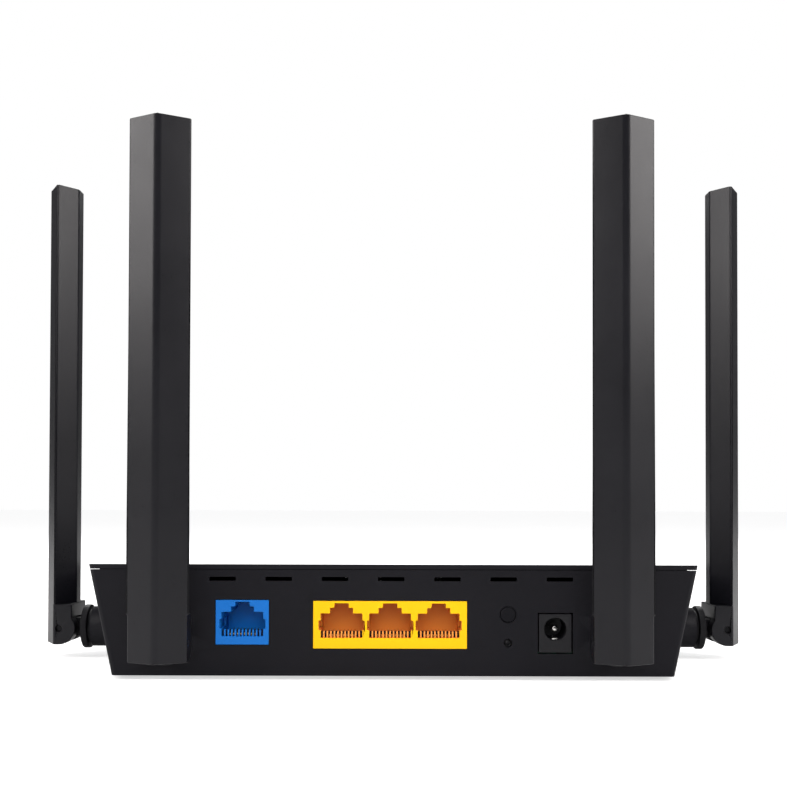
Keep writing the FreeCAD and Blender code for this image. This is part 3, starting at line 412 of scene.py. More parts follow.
# each socket's second colour is painted into its mouths: a darker, browner orange as painted shade in the
# orange mouths, a slightly lighter blue as painted light in the blue ones
WAN = PaintedShadeSocketry(
    "wan_plastic", (0.0062, 0.140, 0.50), 0.42, 0.5, 0.006, 0.2, 0.05, 0.0, (0.007, 0.15, 0.52), MOUTH_SHADE_MM
)
LAN = PaintedShadeSocketry(
    "lan_plastic", (0.88, 0.500, 0.004), 0.42, 0.5, 0.006, 0.15, 0.05, 0.0, (0.84, 0.30, 0.055), MOUTH_SHADE_MM
)
JACK = Moulding("jack_plastic", (0.0075, 0.0073, 0.0090), 0.44, 0.6, 0.008, 0.3, 0.1)
BUTTON = Moulding("button_plastic", (0.0064, 0.0064, 0.0080), 0.46, 0.3, 0.008, 0.08, 0.1)
GOLD = Sheetmetal("contact_metal", (0.92, 0.62, 0.22), 0.22, (1.0, 14.0, 1.0), 0.2)
PIN = Sheetmetal("pin_metal", (0.80, 0.79, 0.76), 0.18, (1.0, 14.0, 1.0), 0.15)
STEEL = Sheetmetal("screw_steel", (0.23, 0.22, 0.22), 0.34, (3.0, 3.0, 9.0), 0.3)
AXLE = Sheetmetal("hinge_steel", (0.03, 0.03, 0.032), 0.5, (14.0, 1.0, 1.0), 0.2)
SHIELD = Sheetmetal("shield_metal", (0.62, 0.63, 0.64), 0.32, (1.0, 9.0, 1.0), 0.22)
SINK = Sheetmetal("sink_aluminium", (0.70, 0.71, 0.72), 0.36, (9.0, 1.0, 1.0), 0.15)
BRASS = Sheetmetal("radiator_brass", (0.78, 0.56, 0.25), 0.3, (1.0, 1.0, 0.1), 0.3)
FOOT = Rubber("foot_rubber", (0.020, 0.020, 0.021))
BOARD = Laminate("board_laminate", (0.008, 0.062, 0.036))
CHIP = Moulding("chip_resin", (0.018, 0.018, 0.019), 0.6, 0.18, 0.008, 0.45, 0.14)
PAD = Moulding("pad_grey", (0.22, 0.23, 0.25), 0.7, 0.6, 0.02, 0.3, 0.1)
SLEEVE = Moulding("capacitor_sleeve", (0.012, 0.018, 0.045), 0.33, 2.0, 0.004, 0.5, 0.1, 0.3)
LAMP = Resin("lamp_resin", (0.92, 0.93, 0.90), 0.3, 0.3)
GUIDE = Resin("guide_clear", (0.93, 0.95, 0.96), 0.85, 0.16)
LEAD = Moulding("lead_sleeve", (0.055, 0.052, 0.050), 0.36, 0.5, 0.006, 0.5, 0.12)
SWITCH = Moulding("switch_resin", (0.030, 0.030, 0.032), 0.5, 0.3, 0.008, 0.45, 0.1)
PLUNGER = Moulding("plunger_resin", (0.016, 0.016, 0.018), 0.42, 0.4, 0.006, 0.5, 0.06)


# --- mesh work


def centre_of(box: Box) -> Vector:
    """The middle of a box."""
    return (box[0] + box[1]) / 2


def placed(name: str, data: bpy.types.ID) -> Item:
    """Puts a new object with its data into the scene."""
    item = bpy.data.objects.new(name, data)
    bpy.context.scene.collection.objects.link(item)
    return item


def linked(name: str, mesh: bpy.types.Mesh) -> Item:
    """Puts a mesh into the scene under a name."""
    mesh.name = name
    return placed(name, mesh)


def stored(name: str, made: bmesh.types.BMesh) -> Item:
    """Turns a bmesh into an object as it is."""
    mesh = bpy.data.meshes.new(name)
    made.to_mesh(mesh)
    made.free()
    return linked(name, mesh)


def from_bmesh(name: str, made: bmesh.types.BMesh) -> Item:
    """Turns a bmesh into an object, with its normals outwards."""
    bmesh.ops.remove_doubles(made, verts=made.verts, dist=MERGE)
    bmesh.ops.recalc_face_normals(made, faces=made.faces)
    return stored(name, made)


def merged_mesh(node: str) -> bmesh.types.BMesh:
    """A frame node's mesh with its doubled points merged."""
    made = bmesh.new()
    made.from_mesh(bpy.data.objects[node].data)
    bmesh.ops.remove_doubles(made, verts=made.verts, dist=MERGE)
    return made


def merged_copy(node: str, name: str) -> Item:
    """A copy of a frame node with its points merged and few triangles in its flat faces."""
    made = merged_mesh(node)
    bmesh.ops.dissolve_limit(
        made, angle_limit=FLAT_ANGLE, use_dissolve_boundaries=False,
        verts=made.verts, edges=made.edges, delimit={"NORMAL"},
    )
    bmesh.ops.triangulate(made, faces=[face for face in made.faces if len(face.verts) > 4])
    return stored(name, made)


def solids_of(node: str) -> list[Box]:
    """The box of each separate solid of a frame node, from left to right and back to front."""
    made = merged_mesh(node)
    left = set(made.verts)
    found: list[Box] = []
    while left:
        reach = [left.pop()]
        points = []
        while reach:
            vert = reach.pop()
            points.append(vert.co.copy())
            for edge in vert.link_edges:
                other = edge.other_vert(vert)
                if other in left:
                    left.discard(other)
                    reach.append(other)
        low = Vector(min(p[i] for p in points) for i in range(3))
        high = Vector(max(p[i] for p in points) for i in range(3))
        found.append((low, high))
    made.free()
    return sorted(found, key=lambda box: (round(centre_of(box).x, 4), round(centre_of(box).y, 4)))


def settle(item: Item) -> Item:
    """Makes an object's modifiers part of its mesh."""
    graph = bpy.context.evaluated_depsgraph_get()
    graph.update()
    source = item.evaluated_get(graph)
    mesh = bpy.data.meshes.new_from_object(source, preserve_all_data_layers=True, depsgraph=graph)
    item.modifiers.clear()
    item.data = mesh
    mesh.name = item.name
    return item


def carve(item: Item, cutters: Iterable[Item]) -> Item:
    """Cuts shapes out of an object and removes them."""
    for cutter in list(cutters):
        tool = item.modifiers.new("carve", "BOOLEAN")
        tool.operation = "DIFFERENCE"
        tool.solver = "EXACT"
        tool.object = cutter
        settle(item)
        bpy.data.objects.remove(cutter)
    return item


def soften(item: Item, width_mm: float, least_mm: float = 0.0) -> Item:
    """Rounds an object's sharp edges a little, as a mould does, and smooths its shading.

    Args:
        item: The object.
        width_mm: How far a rounding reaches.
        least_mm: Edges shorter than this stay sharp.

    Returns:
        The object, finished.
    """
    if width_mm > 0:
        edge = item.modifiers.new("edge", "BEVEL")
        edge.width = width_mm * MM
        edge.segments = BEVEL_RINGS
        edge.limit_method = "WEIGHT" if least_mm else "ANGLE"
        edge.angle_limit = BEVEL_ANGLE
        if least_mm:
            weigh(item, least_mm)
        edge.use_clamp_overlap = False
        edge.miter_outer = "MITER_ARC"
        settle(item)
    return smoothed(item)


def weigh(item: Item, least_mm: float) -> None:
    """Marks the long sharp edges as the ones to round."""
    made = bmesh.new()
    made.from_mesh(item.data)
    mark = made.edges.layers.float.new("bevel_weight_edge")
    for edge in made.edges:
        long = edge.calc_length() >= least_mm * MM
        edge[mark] = 1.0 if long and edge.calc_face_angle(0.0) > BEVEL_ANGLE else 0.0
    made.to_mesh(item.data)
    made.free()


def smoothed(item: Item) -> Item:
    """Smooth shading, with the sharp edges kept and the flat faces flat."""
    item.data.shade_smooth()
    item.data.set_sharp_from_angle(angle=SMOOTH_ANGLE)
    even = item.modifiers.new("even", "WEIGHTED_NORMAL")
    even.keep_sharp = True
    return settle(item)


def block(name: str, low: Sequence[float], high: Sequence[float]) -> Item:
    """A box between two corners, in metres."""
    made = bmesh.new()
    bmesh.ops.create_cube(made, size=1.0)
    for vert in made.verts:
        vert.co = Vector(low[i] + (high[i] - low[i]) * (vert.co[i] + 0.5) for i in range(3))
    return from_bmesh(name, made)


def turned_size(box: Box) -> tuple[float, float]:
    """The radius and the height of a turned part's box, in millimetres."""
    low, high = box
    return (high.x - low.x) / 2 / MM, (high.z - low.z) / MM


def undersides(boxes: Iterable[Box]) -> list[Triple]:
    """The middle of each box's underside."""
    return [(centre_of(b).x, centre_of(b).y, b[0].z) for b in boxes]


def crossed(arms: tuple[float, float], low: float, high: float) -> list[Item]:
    """Two crossed bars, with half their length and half their width given, in metres."""
    return [block("bar", (-x, -y, low), (x, y, high)) for x, y in (arms, arms[::-1])]


def lathe(name: str, profile: Sequence[tuple[float, float]], steps: int = 48) -> Item:
    """Turns a profile round Z.

    Args:
        name: The object's name.
        profile: Radius and height of each point in millimetres, from one end on the axis to the other.
        steps: How many faces go round.

    Returns:
        A closed solid at the origin.
    """
    made = bmesh.new()
    rings = []
    for radius, height in profile:
        if radius < 1e-6:
            rings.append([made.verts.new((0.0, 0.0, height * MM))])
            continue
        turn = 2 * math.pi / steps
        rings.append([
            made.verts.new((radius * MM * math.cos(turn * i), radius * MM * math.sin(turn * i), height * MM))
            for i in range(steps)
        ])
    for below, above in zip(rings, rings[1:]):
        for i in range(steps):
            corners = [below[i % len(below)], below[(i + 1) % len(below)]]
            corners += [above[(i + 1) % len(above)], above[i % len(above)]]
            unique = list(dict.fromkeys(corners))
            if len(unique) > 2:
                made.faces.new(unique)
    return from_bmesh(name, made)


def rounded_profile(
    radius: float, low: float, high: float, soft: float, steps: int = 4
) -> list[tuple[float, float]]:
    """A turned solid's profile between two heights, with both rims rounded, in millimetres."""
    points = [(0.0, low)]
    for i in range(steps + 1):
        a = QUARTER * i / steps
        points.append((radius - soft + soft * math.sin(a), low + soft - soft * math.cos(a)))
    for i in range(steps + 1):
        a = QUARTER * i / steps
        points.append((radius - soft + soft * math.cos(a), high - soft + soft * math.sin(a)))
    points.append((0.0, high))
    return points


def wire(name: str, points: Sequence[Sequence[float]], radius: float, sides: int) -> Item:
    """A round wire along a smooth line through a few points, in metres."""
    curve = bpy.data.curves.new(name, "CURVE")
    curve.dimensions = "3D"
    curve.bevel_depth = radius
    curve.bevel_resolution = sides // 2
    curve.use_fill_caps = True
    curve.resolution_u = 5
    spline = curve.splines.new("NURBS")
    spline.points.add(len(points) - 1)
    for knot, point in zip(spline.points, points):
        knot.co = (*point, 1.0)
    spline.order_u = 3
    spline.use_endpoint_u = True
    line = placed(name, curve)
    graph = bpy.context.evaluated_depsgraph_get()
    graph.update()
    mesh = bpy.data.meshes.new_from_object(line.evaluated_get(graph), depsgraph=graph)
    bpy.data.objects.remove(line)
    made = bmesh.new()
    made.from_mesh(mesh)
    bpy.data.meshes.remove(mesh)
    return from_bmesh(name, made)


def ribbon(name: str, rings: Sequence[Sequence[Sequence[float]]]) -> Item:
    """A closed strip through rings of four corners each, in metres."""
    made = bmesh.new()
    rows = [[made.verts.new(corner) for corner in ring] for ring in rings]
    for a, b in zip(rows, rows[1:]):
        for k in range(4):
            made.faces.new((a[k], a[(k + 1) % 4], b[(k + 1) % 4], b[k]))
    made.faces.new(rows[0])
    made.faces.new(rows[-1])
    return from_bmesh(name, made)


def shifted(item: Item, matrix: Matrix) -> Item:
    """Moves an object's mesh, and leaves its object at the origin."""
    item.data.transform(matrix)
    item.data.update()
    return item


def joined(name: str, items: Sequence[Item]) -> Item:
    """One object from several, which are removed."""
    made = bmesh.new()
    for item in items:
        made.from_mesh(item.data)
        bpy.data.objects.remove(item)
    return stored(name, made)


# --- repeats


class Series(NodeBook):
    """A Geometry Nodes tree that repeats a part, with named inputs."""

    def __init__(self, name: str, sockets: dict[str, str]) -> None:
        """Opens the tree and its inputs.

        Args:
            name: The tree's name.
            sockets: Each input's name and socket type.
        """
        tree = bpy.data.node_groups.new(name, "GeometryNodeTree")
        super().__init__(tree)
        face = tree.interface
        self.keys: dict[str, str] = {}
        for word, kind in {"Points": "NodeSocketGeometry", **sockets, "Finish": "NodeSocketMaterial"}.items():
            self.keys[word] = face.new_socket(name=word, in_out="INPUT", socket_type=kind).identifier
        face.new_socket(name="Made", in_out="OUTPUT", socket_type="NodeSocketGeometry")
        self.given = self.add("NodeGroupInput")

    def close(self, shape: Signal) -> None:
        """Ends the tree in real geometry with its finish."""
        real = self.add("GeometryNodeRealizeInstances", None, {"Geometry": shape})
        inputs = {"Geometry": real, "Material": self.given.of("Finish")}
        dressed = self.add("GeometryNodeSetMaterial", None, inputs)
        self.add("NodeGroupOutput", None, {0: dressed})

    def run(self, name: str, base: bpy.types.Mesh, values: dict[str, Any]) -> Item:
        """Makes one plain mesh from the tree.

        Args:
            name: The new object's name.
            base: The mesh that the tree starts from.
            values: A value for each named input.

        Returns:
            The object, with no modifier on it.
        """
        item = linked(name, base)
        tool = item.modifiers.new("series", "NODES")
        tool.node_group = self.tree
        for word, value in values.items():
            tool[self.keys[word]] = value
        return settle(item)


class SpotSeries(Series):
    """Sets a part on each point of a mesh, turned as the point's own attribute says."""

    def __init__(self) -> None:
        """Builds the tree."""
        super().__init__("spot series", {"Part": "NodeSocketObject", "Size": "NodeSocketFloat"})
        part = self.add("GeometryNodeObjectInfo", None, {"Object": self.given.of("Part")}).of("Geometry")
        angles = self.add("GeometryNodeInputNamedAttribute", {"data_type": "FLOAT_VECTOR"}, {"Name": "turn"})
        turn = self.add("FunctionNodeEulerToRotation", None, {"Euler": angles})
        inputs = {"Points": self.given.of("Points"), "Instance": part, "Rotation": turn}
        inputs["Scale"] = self.given.of("Size")
        self.close(self.add("GeometryNodeInstanceOnPoints", None, inputs))

    def place(
        self, name: str, part: Item, finish: Finish, spots: Sequence[Sequence[float]],
        turns: Sequence[Triple] | None = None,
    ) -> Item:
        """Sets a part at each spot, then removes the part.

        Args:
            name: The new object's name.
            part: The part, at the origin.
            finish: Its finish.
            spots: Where each copy goes, in metres.
            turns: Angles about X, Y and Z for each copy.

        Returns:
            One plain mesh.
        """
        base = bpy.data.meshes.new(name)
        base.from_pydata([tuple(s) for s in spots], [], [])
        held = base.attributes.new("turn", "FLOAT_VECTOR", "POINT")
        for i, angles in enumerate(turns or [(0.0, 0.0, 0.0)] * len(spots)):
            held.data[i].vector = angles
        made = self.run(name, base, {"Part": part, "Size": 1.0, "Finish": finish.material()})
        bpy.data.objects.remove(part)
        return made


class RowSeries(Series):
    """Sets a part at even steps along a line."""

    def __init__(self) -> None:
        """Builds the tree."""
        sockets = {"Part": "NodeSocketObject", "Count": "NodeSocketInt"}
        sockets |= {"Start": "NodeSocketVector", "Step": "NodeSocketVector"}
        super().__init__("row series", sockets)
        part = self.add("GeometryNodeObjectInfo", None, {"Object": self.given.of("Part")}).of("Geometry")
        inputs = {"Count": self.given.of("Count"), "Start Location": self.given.of("Start")}
        inputs["Offset"] = self.given.of("Step")
        line = self.add("GeometryNodeMeshLine", {"mode": "OFFSET"}, inputs)
        self.close(self.add("GeometryNodeInstanceOnPoints", None, {"Points": line, "Instance": part}))

    def place(
        self, name: str, part: Item, finish: Finish, count: int, start: Sequence[float], step: Triple
    ) -> Item:
        """Sets a part in a row, then removes the part."""
        values = {"Part": part, "Count": count, "Start": tuple(start), "Step": step}
        values["Finish"] = finish.material()
        made = self.run(name, bpy.data.meshes.new(name), values)
        bpy.data.objects.remove(part)
        return made


class ThreadSeries(Series):
    """Winds a screw thread round Z."""

    def __init__(self) -> None:
        """Builds the tree."""
        sockets = dict.fromkeys(("Turns", "Radius", "Rise", "Crest"), "NodeSocketFloat")
        super().__init__("thread series", sockets)
        inputs = {
            "Resolution": 14, "Rotations": self.given.of("Turns"), "Start Radius": self.given.of("Radius"),
            "End Radius": self.given.of("Radius"), "Height": self.given.of("Rise"),
        }
        path = self.add("GeometryNodeCurveSpiral", None, inputs)
        inputs = {"Resolution": 3, "Radius": self.given.of("Crest")}
        ridge = self.add("GeometryNodeCurvePrimitiveCircle", None, inputs)
        sweep = {"Curve": path, "Profile Curve": ridge, "Fill Caps": True}
        self.close(self.add("GeometryNodeCurveToMesh", None, sweep))

    def wind(self, name: str, finish: Finish, turns: float, radius: float, rise: float, crest: float) -> Item:
        """Makes one thread of so many turns, with its sizes in metres."""
        values = {"Turns": turns, "Radius": radius, "Rise": rise, "Crest": crest, "Finish": finish.material()}
        return self.run(name, bpy.data.meshes.new(name), values)


# --- the router


@dataclass
class Assembly:
    """What every sub-assembly needs: the repeaters and a list of what it made."""

    rows: RowSeries
    spots: SpotSeries
    threads: ThreadSeries
    made: list[str] = field(default_factory=list)

    def keep(self, item: Item, finish: Finish, body: str, *nodes: str) -> Item:
        """Dresses a piece, lets it ride and notes it.

        Args:
            item: The piece.
            finish: Its finish.
            body: The body it rides on.
            nodes: Frame nodes that it stands for.

        Returns:
            The piece.
        """
        item.data.materials.clear()
        item.data.materials.append(finish.material())
        if nodes:
            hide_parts(*nodes)
        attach(item, body)
        self.made.append(item.name)
        LOG.info("piece %s on %s, %d faces", item.name, body, len(item.data.polygons))
        return item

    def faced(self, name: str, part: Item, finish: Finish, box: Box) -> Item:
        """Lays a turned part on its side, with its foot in the middle of a box's rear face."""
        middle = centre_of(box)
        spot = (middle.x, box[0].y, middle.z)
        return self.spots.place(name, part, finish, [spot], [(-QUARTER, 0.0, 0.0)])

    def dress(self, node: str, finish: Finish) -> None:
        """Gives a frame node that stays its finish."""
        item = bpy.data.objects[node]
        item.data.materials.clear()
        item.data.materials.append(finish.material())
        item.data.shade_smooth()
        item.data.set_sharp_from_angle(angle=SMOOTH_ANGLE)
        LOG.info("node %s dressed in %s", node, finish.slot)

    def softened(
        self, node: str, finish: Finish, body: str, width_mm: float,
        cutters: Callable[[], Iterable[Item]] | None = None, least_mm: float = 0.0,
    ) -> Item:
        """A frame node's copy with its moulded edges rounded, in place of the node."""
        item = merged_copy(node, node + "_look")
        if cutters:
            carve(item, cutters())
        soften(item, width_mm, least_mm)
        return self.keep(item, finish, body, node)


@dataclass
class Case(Assembly):
    """The two halves of the case, the feet and the screws."""

    edge_mm: float = 0.06
    least_mm: float = 14.0
    foot_soft_mm: float = 0.45
    case_head_mm: float = 2.0
    board_head_mm: float = 1.4
    recess_mm: float = 1.1
    crown: float = 1.2

    def build(self) -> None:
        """Makes every piece."""
        body = Rig.HOUSING.value
        for node in ("bottom_case", "top_cover"):
            self.softened(node, CASE, body, self.edge_mm, None, self.least_mm)
        self.feet(body)
        self.screws("case_screws", body, self.case_head_mm)
        self.screws("board_screws", body, self.board_head_mm, up=False)

    def feet(self, body: str) -> None:
        """Rounded pads with a shallow ring pressed into each."""
        boxes = solids_of("rubber_feet")
        radius, tall = turned_size(boxes[0])
        profile = [(0.0, 0.0), (radius * 0.52, 0.0), (radius * 0.56, 0.18), (radius * 0.64, 0.18)]
        profile.append((radius * 0.68, 0.0))
        profile += rounded_profile(radius, 0.0, tall, self.foot_soft_mm)[1:]
        pad = smoothed(lathe("foot", profile))
        self.keep(self.spots.place("feet_look", pad, FOOT, undersides(boxes)), FOOT, body, "rubber_feet")

    def screws(self, node: str, body: str, head_mm: float, up: bool = True) -> None:
        """Pan-head screws with a cross recess and a real thread.

        Args:
            node: The frame node they stand for.
            body: The body they ride on.
            head_mm: Height of the head.
            up: True where the head is the lower end.
        """
        boxes = solids_of(node)
        head, tall = turned_size(boxes[0])
        shank = head * 0.46
        pitch = shank * 0.8
        deepest = 1 - math.cos(self.crown)
        dome = [(0.0, 0.0)] + [
            (head * math.sin(a), head_mm * 0.42 * (1 - math.cos(a)) / deepest)
            for a in (0.25, 0.5, 0.75, 1.0, self.crown)
        ]
        wide = dome[-1][0]
        dome += [(head, head_mm * 0.6), (head, head_mm - 0.12), (wide * 0.97, head_mm)]
        core = shank * 0.78
        dome += [(shank * 0.86, head_mm + 0.05), (core, head_mm + 0.4), (core, tall - shank)]
        dome += [(shank * 0.35, tall - 0.15), (0.0, tall)]
        screw = lathe("screw", dome, 40)
        arm, thin, deep = head * 0.52 * MM, head * 0.11 * MM, self.recess_mm * MM
        carve(screw, crossed((arm, thin), -MM, deep))
        rise = (tall - head_mm - shank - 0.6) * MM
        reach, crest = shank * 0.82 * MM, shank * 0.2 * MM
        thread = self.threads.wind("thread", STEEL, rise / (pitch * MM), reach, rise, crest)
        shifted(thread, Matrix.Translation((0, 0, (head_mm + 0.5) * MM)))
        part = smoothed(joined("screw", [screw, thread]))
        turns = [(0.0 if up else math.pi, 0.0, 0.4 + 0.7 * i) for i in range(len(boxes))]
        spots = [(centre_of(b).x, centre_of(b).y, b[0].z if up else b[1].z) for b in boxes]
        self.keep(self.spots.place(node + "_look", part, STEEL, spots, turns), STEEL, body, node)


@dataclass
class NetworkSockets(Assembly):
    """The blue and the orange socket: notched mouths, slotted combs at the floor and sprung contacts."""

    mouth_mm: float = 11.98
    notch_mm: float = 0.62
    notch_low_mm: float = 2.2
    notch_high_mm: float = 4.95
    notch_deep_mm: float = 9.0
    slot_mm: float = 0.56
    comb_tall_mm: float = 1.9
    comb_start_mm: float = 0.5
    comb_deep_mm: float = 1.5
    below_mm: float = 0.35
    overlap_mm: float = 0.05
    edge_mm: float = 0.16
    tooth_edge_mm: float = 0.08
    teeth: int = 11
    contacts_each: int = 8

    def build(self) -> None:
        """Makes every piece."""
        self.socket("wan", WAN)
        self.socket("lan", LAN)

    def mouths(self, kind: str) -> list[list[Box]]:
        """The contacts' boxes, in one list for each mouth."""
        boxes = solids_of(kind + "_contacts")
        each = self.contacts_each
        return [boxes[i:i + each] for i in range(0, len(boxes), each)]

    def socket(self, kind: str, finish: Finish) -> None:
        """One socket block with its combs and contacts."""
        body = Rig.HOUSING.value
        low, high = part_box(kind + "_socket")
        mouths = self.mouths(kind)
        middles = [(m[0][0].x + m[-1][1].x) / 2 for m in mouths]
        floor = mouths[0][0][0].z
        pitch = mouths[0][1][0].x - mouths[0][0][0].x

        def notches() -> Iterable[Item]:
            """The keyed grooves in each mouth's cheeks."""
            reach = (self.mouth_mm / 2 + self.notch_mm) * MM
            for x in middles:
                yield block(
                    "notch", (x - reach, low.y - MM, floor + self.notch_low_mm * MM),
                    (x + reach, low.y + self.notch_deep_mm * MM, floor + self.notch_high_mm * MM),
                )

        self.softened(kind + "_socket", finish, body, self.edge_mm, notches)
        combs = [self.comb(finish, x, low.y, floor, pitch) for x in middles]
        self.keep(joined(kind + "_combs", combs), finish, body)
        start = low.y + (self.comb_start_mm + self.comb_deep_mm) * MM
        edge = self.overlap_mm * MM
        half = self.mouth_mm / 2 * MM - edge
        top = floor + self.comb_tall_mm * MM - edge
        # contact carriers behind the combs, in dark jack plastic; they also stand in as painted shade, a dark
        # sheet that darkens the slots between the teeth
        slot_shade_backs = []
        for x in middles:
            bar = block("carrier", (x - half, start, floor - edge), (x + half, start + 0.5 * MM, top))
            slot_shade_backs.append(soften(bar, 0.1))
        self.keep(joined(kind + "_carriers", slot_shade_backs), JACK, body)
        self.contacts(kind, mouths, floor)

    def comb(self, finish: Finish, x: float, front: float, floor: float, pitch: float) -> Item:
        """The row of teeth between the contacts of one mouth."""
        start = front + self.comb_start_mm * MM
        end = start + self.comb_deep_mm * MM
        tooth = (pitch - self.slot_mm * MM) / 2
        low, high = floor - self.overlap_mm * MM, floor + self.comb_tall_mm * MM
        one = soften(block("tooth", (-tooth, start, low), (tooth, end, high)), self.tooth_edge_mm)
        first = x - (self.teeth - 1) / 2 * pitch
        return self.rows.place("teeth", one, finish, self.teeth, (first, 0.0, 0.0), (pitch, 0.0, 0.0))

    def contacts(self, kind: str, mouths: list[list[Box]], floor: float) -> None:
        """Bent gold wires that stand in the comb's slots and run back along the mouth's floor."""
        front, back = mouths[0][0][0].y, mouths[0][0][1].y
        top = mouths[0][0][1].z
        half = (mouths[0][0][1].x - mouths[0][0][0].x) / 2
        pitch = mouths[0][1][0].x - mouths[0][0][0].x
        rise = min(top - floor, (self.comb_tall_mm - self.below_mm) * MM) - half
        low = floor + half * 0.2
        # each bend's share of the way back and of the way up
        route = [(0.0, 0.06), (0.02, 0.35), (0.05, 0.62), (0.12, 0.74), (0.5, 0.86), (0.9, 0.94), (1.0, 0.9)]
        points = [(0.0, front + s * (back - front), low + t * rise) for s, t in route]
        count = self.contacts_each
        bent = []
        for mouth in mouths:
            strand = wire("strand", points, half * 0.8, 6)
            x = centre_of(mouth[0]).x
            bent.append(self.rows.place("bent", strand, GOLD, count, (x, 0.0, 0.0), (pitch, 0.0, 0.0)))
        springs = smoothed(joined(kind + "_springs", bent))
        self.keep(springs, GOLD, Rig.HOUSING.value, kind + "_contacts")


@dataclass
class PowerJack(Assembly):
    """The round power socket, its centre pin and its side spring."""

    edge_mm: float = 0.2

    def build(self) -> None:
        """Makes every piece."""
        body = Rig.HOUSING.value
        self.softened("power_socket", JACK, body, self.edge_mm)
        box = low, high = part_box("power_pin")
        radius = (high.x - low.x) / 2 / MM
        tall = (high.y - low.y) / MM
        profile = [(0.0, 0.0)] + [
            (radius * math.sin(a), radius * (1 - math.cos(a))) for a in (0.3, 0.6, 0.9, 1.2, QUARTER)
        ]
        profile += [(radius, tall - 2.0), (radius * 0.8, tall - 1.9), (radius * 0.8, tall), (0.0, tall)]
        pin = smoothed(lathe("pin", profile, 40))
        made = self.faced("power_pin_look", pin, PIN, box)
        self.keep(made, PIN, body, "power_pin")
        self.spring(body)

    def spring(self, body: str) -> None:
        """A leaf that bows up into the bore."""
        low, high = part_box("power_spring")
        steps, thick, bow, narrow = 16, 0.25 * MM, 0.05 * MM, 0.18 * MM
        rings = []
        for i in range(steps + 1):
            s = i / steps
            y = low.y + s * (high.y - low.y)
            z = low.z + bow * math.sin(math.pi * s)
            inset = narrow * abs(2 * s - 1) ** 6
            left, right = low.x + inset, high.x - inset
            rings.append([(left, y, z), (right, y, z), (right, y, z + thick), (left, y, z + thick)])
        self.keep(smoothed(ribbon("power_spring_look", rings)), PIN, body, "power_spring")


@dataclass
class Buttons(Assembly):
    """The pairing button with its softly dished cap, and the reset plunger behind its hole."""

    cap_mm: float = 2.2
    rim_mm: float = 0.5
    dish_mm: float = 0.12
    flange_mm: float = 0.8
    edge_mm: float = 0.15

    def build(self) -> None:
        """Makes every piece."""
        low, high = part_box("wps_button")
        tall = (high.y - low.y) / MM
        flange = (high.x - low.x) / 2 / MM
        cap, dish, back = self.cap_mm, self.dish_mm, tall - self.flange_mm
        profile = [(0.0, dish), (cap * 0.35, dish * 0.8), (cap * 0.6, dish * 0.3)]
        profile += rounded_profile(cap, 0.0, tall, self.rim_mm, 6)[1:8]
        profile += [(cap, back), (flange - 0.1, back), (flange, back + 0.1), (flange, tall - 0.1)]
        profile += [(flange - 0.1, tall), (0.0, tall)]
        button = smoothed(lathe("cap", profile, 64))
        made = self.faced("wps_button_look", button, BUTTON, (low, high))
        self.keep(made, BUTTON, Rig.PAIRING.value, "wps_button")
        for node, finish, body in (
            ("wps_plunger", PLUNGER, Rig.PAIRING), ("reset_plunger", PLUNGER, Rig.RESET),
            ("wps_switch", SWITCH, Rig.HOUSING), ("reset_switch", SWITCH, Rig.HOUSING),
        ):
            self.softened(node, finish, body.value, self.edge_mm)


@dataclass
class Aerials(Assembly):
    """Four blades on swivelling knuckles."""

    def build(self) -> None:
        """Makes every aerial."""
        for site in Site:
            self.aerial(site)

    def aerial(self, site: Site) -> None:
        """One blade with its hinge."""
        word = site.value
        blade, swivel = word + "_aerial", word + "_swivel"
        for part, finish, body, width in (
            ("_blade_shell", AERIAL, blade, 0.35), ("_blade_back", AERIAL, blade, 0.2),
            ("_knuckle", HINGE, swivel, 0.3), ("_clip", AXLE, swivel, 0.08),
            ("_hinge_pins", AXLE, blade, 0.12),
        ):
            self.softened(word + part, finish, body, width)
        self.dress(word + "_radiator", BRASS)


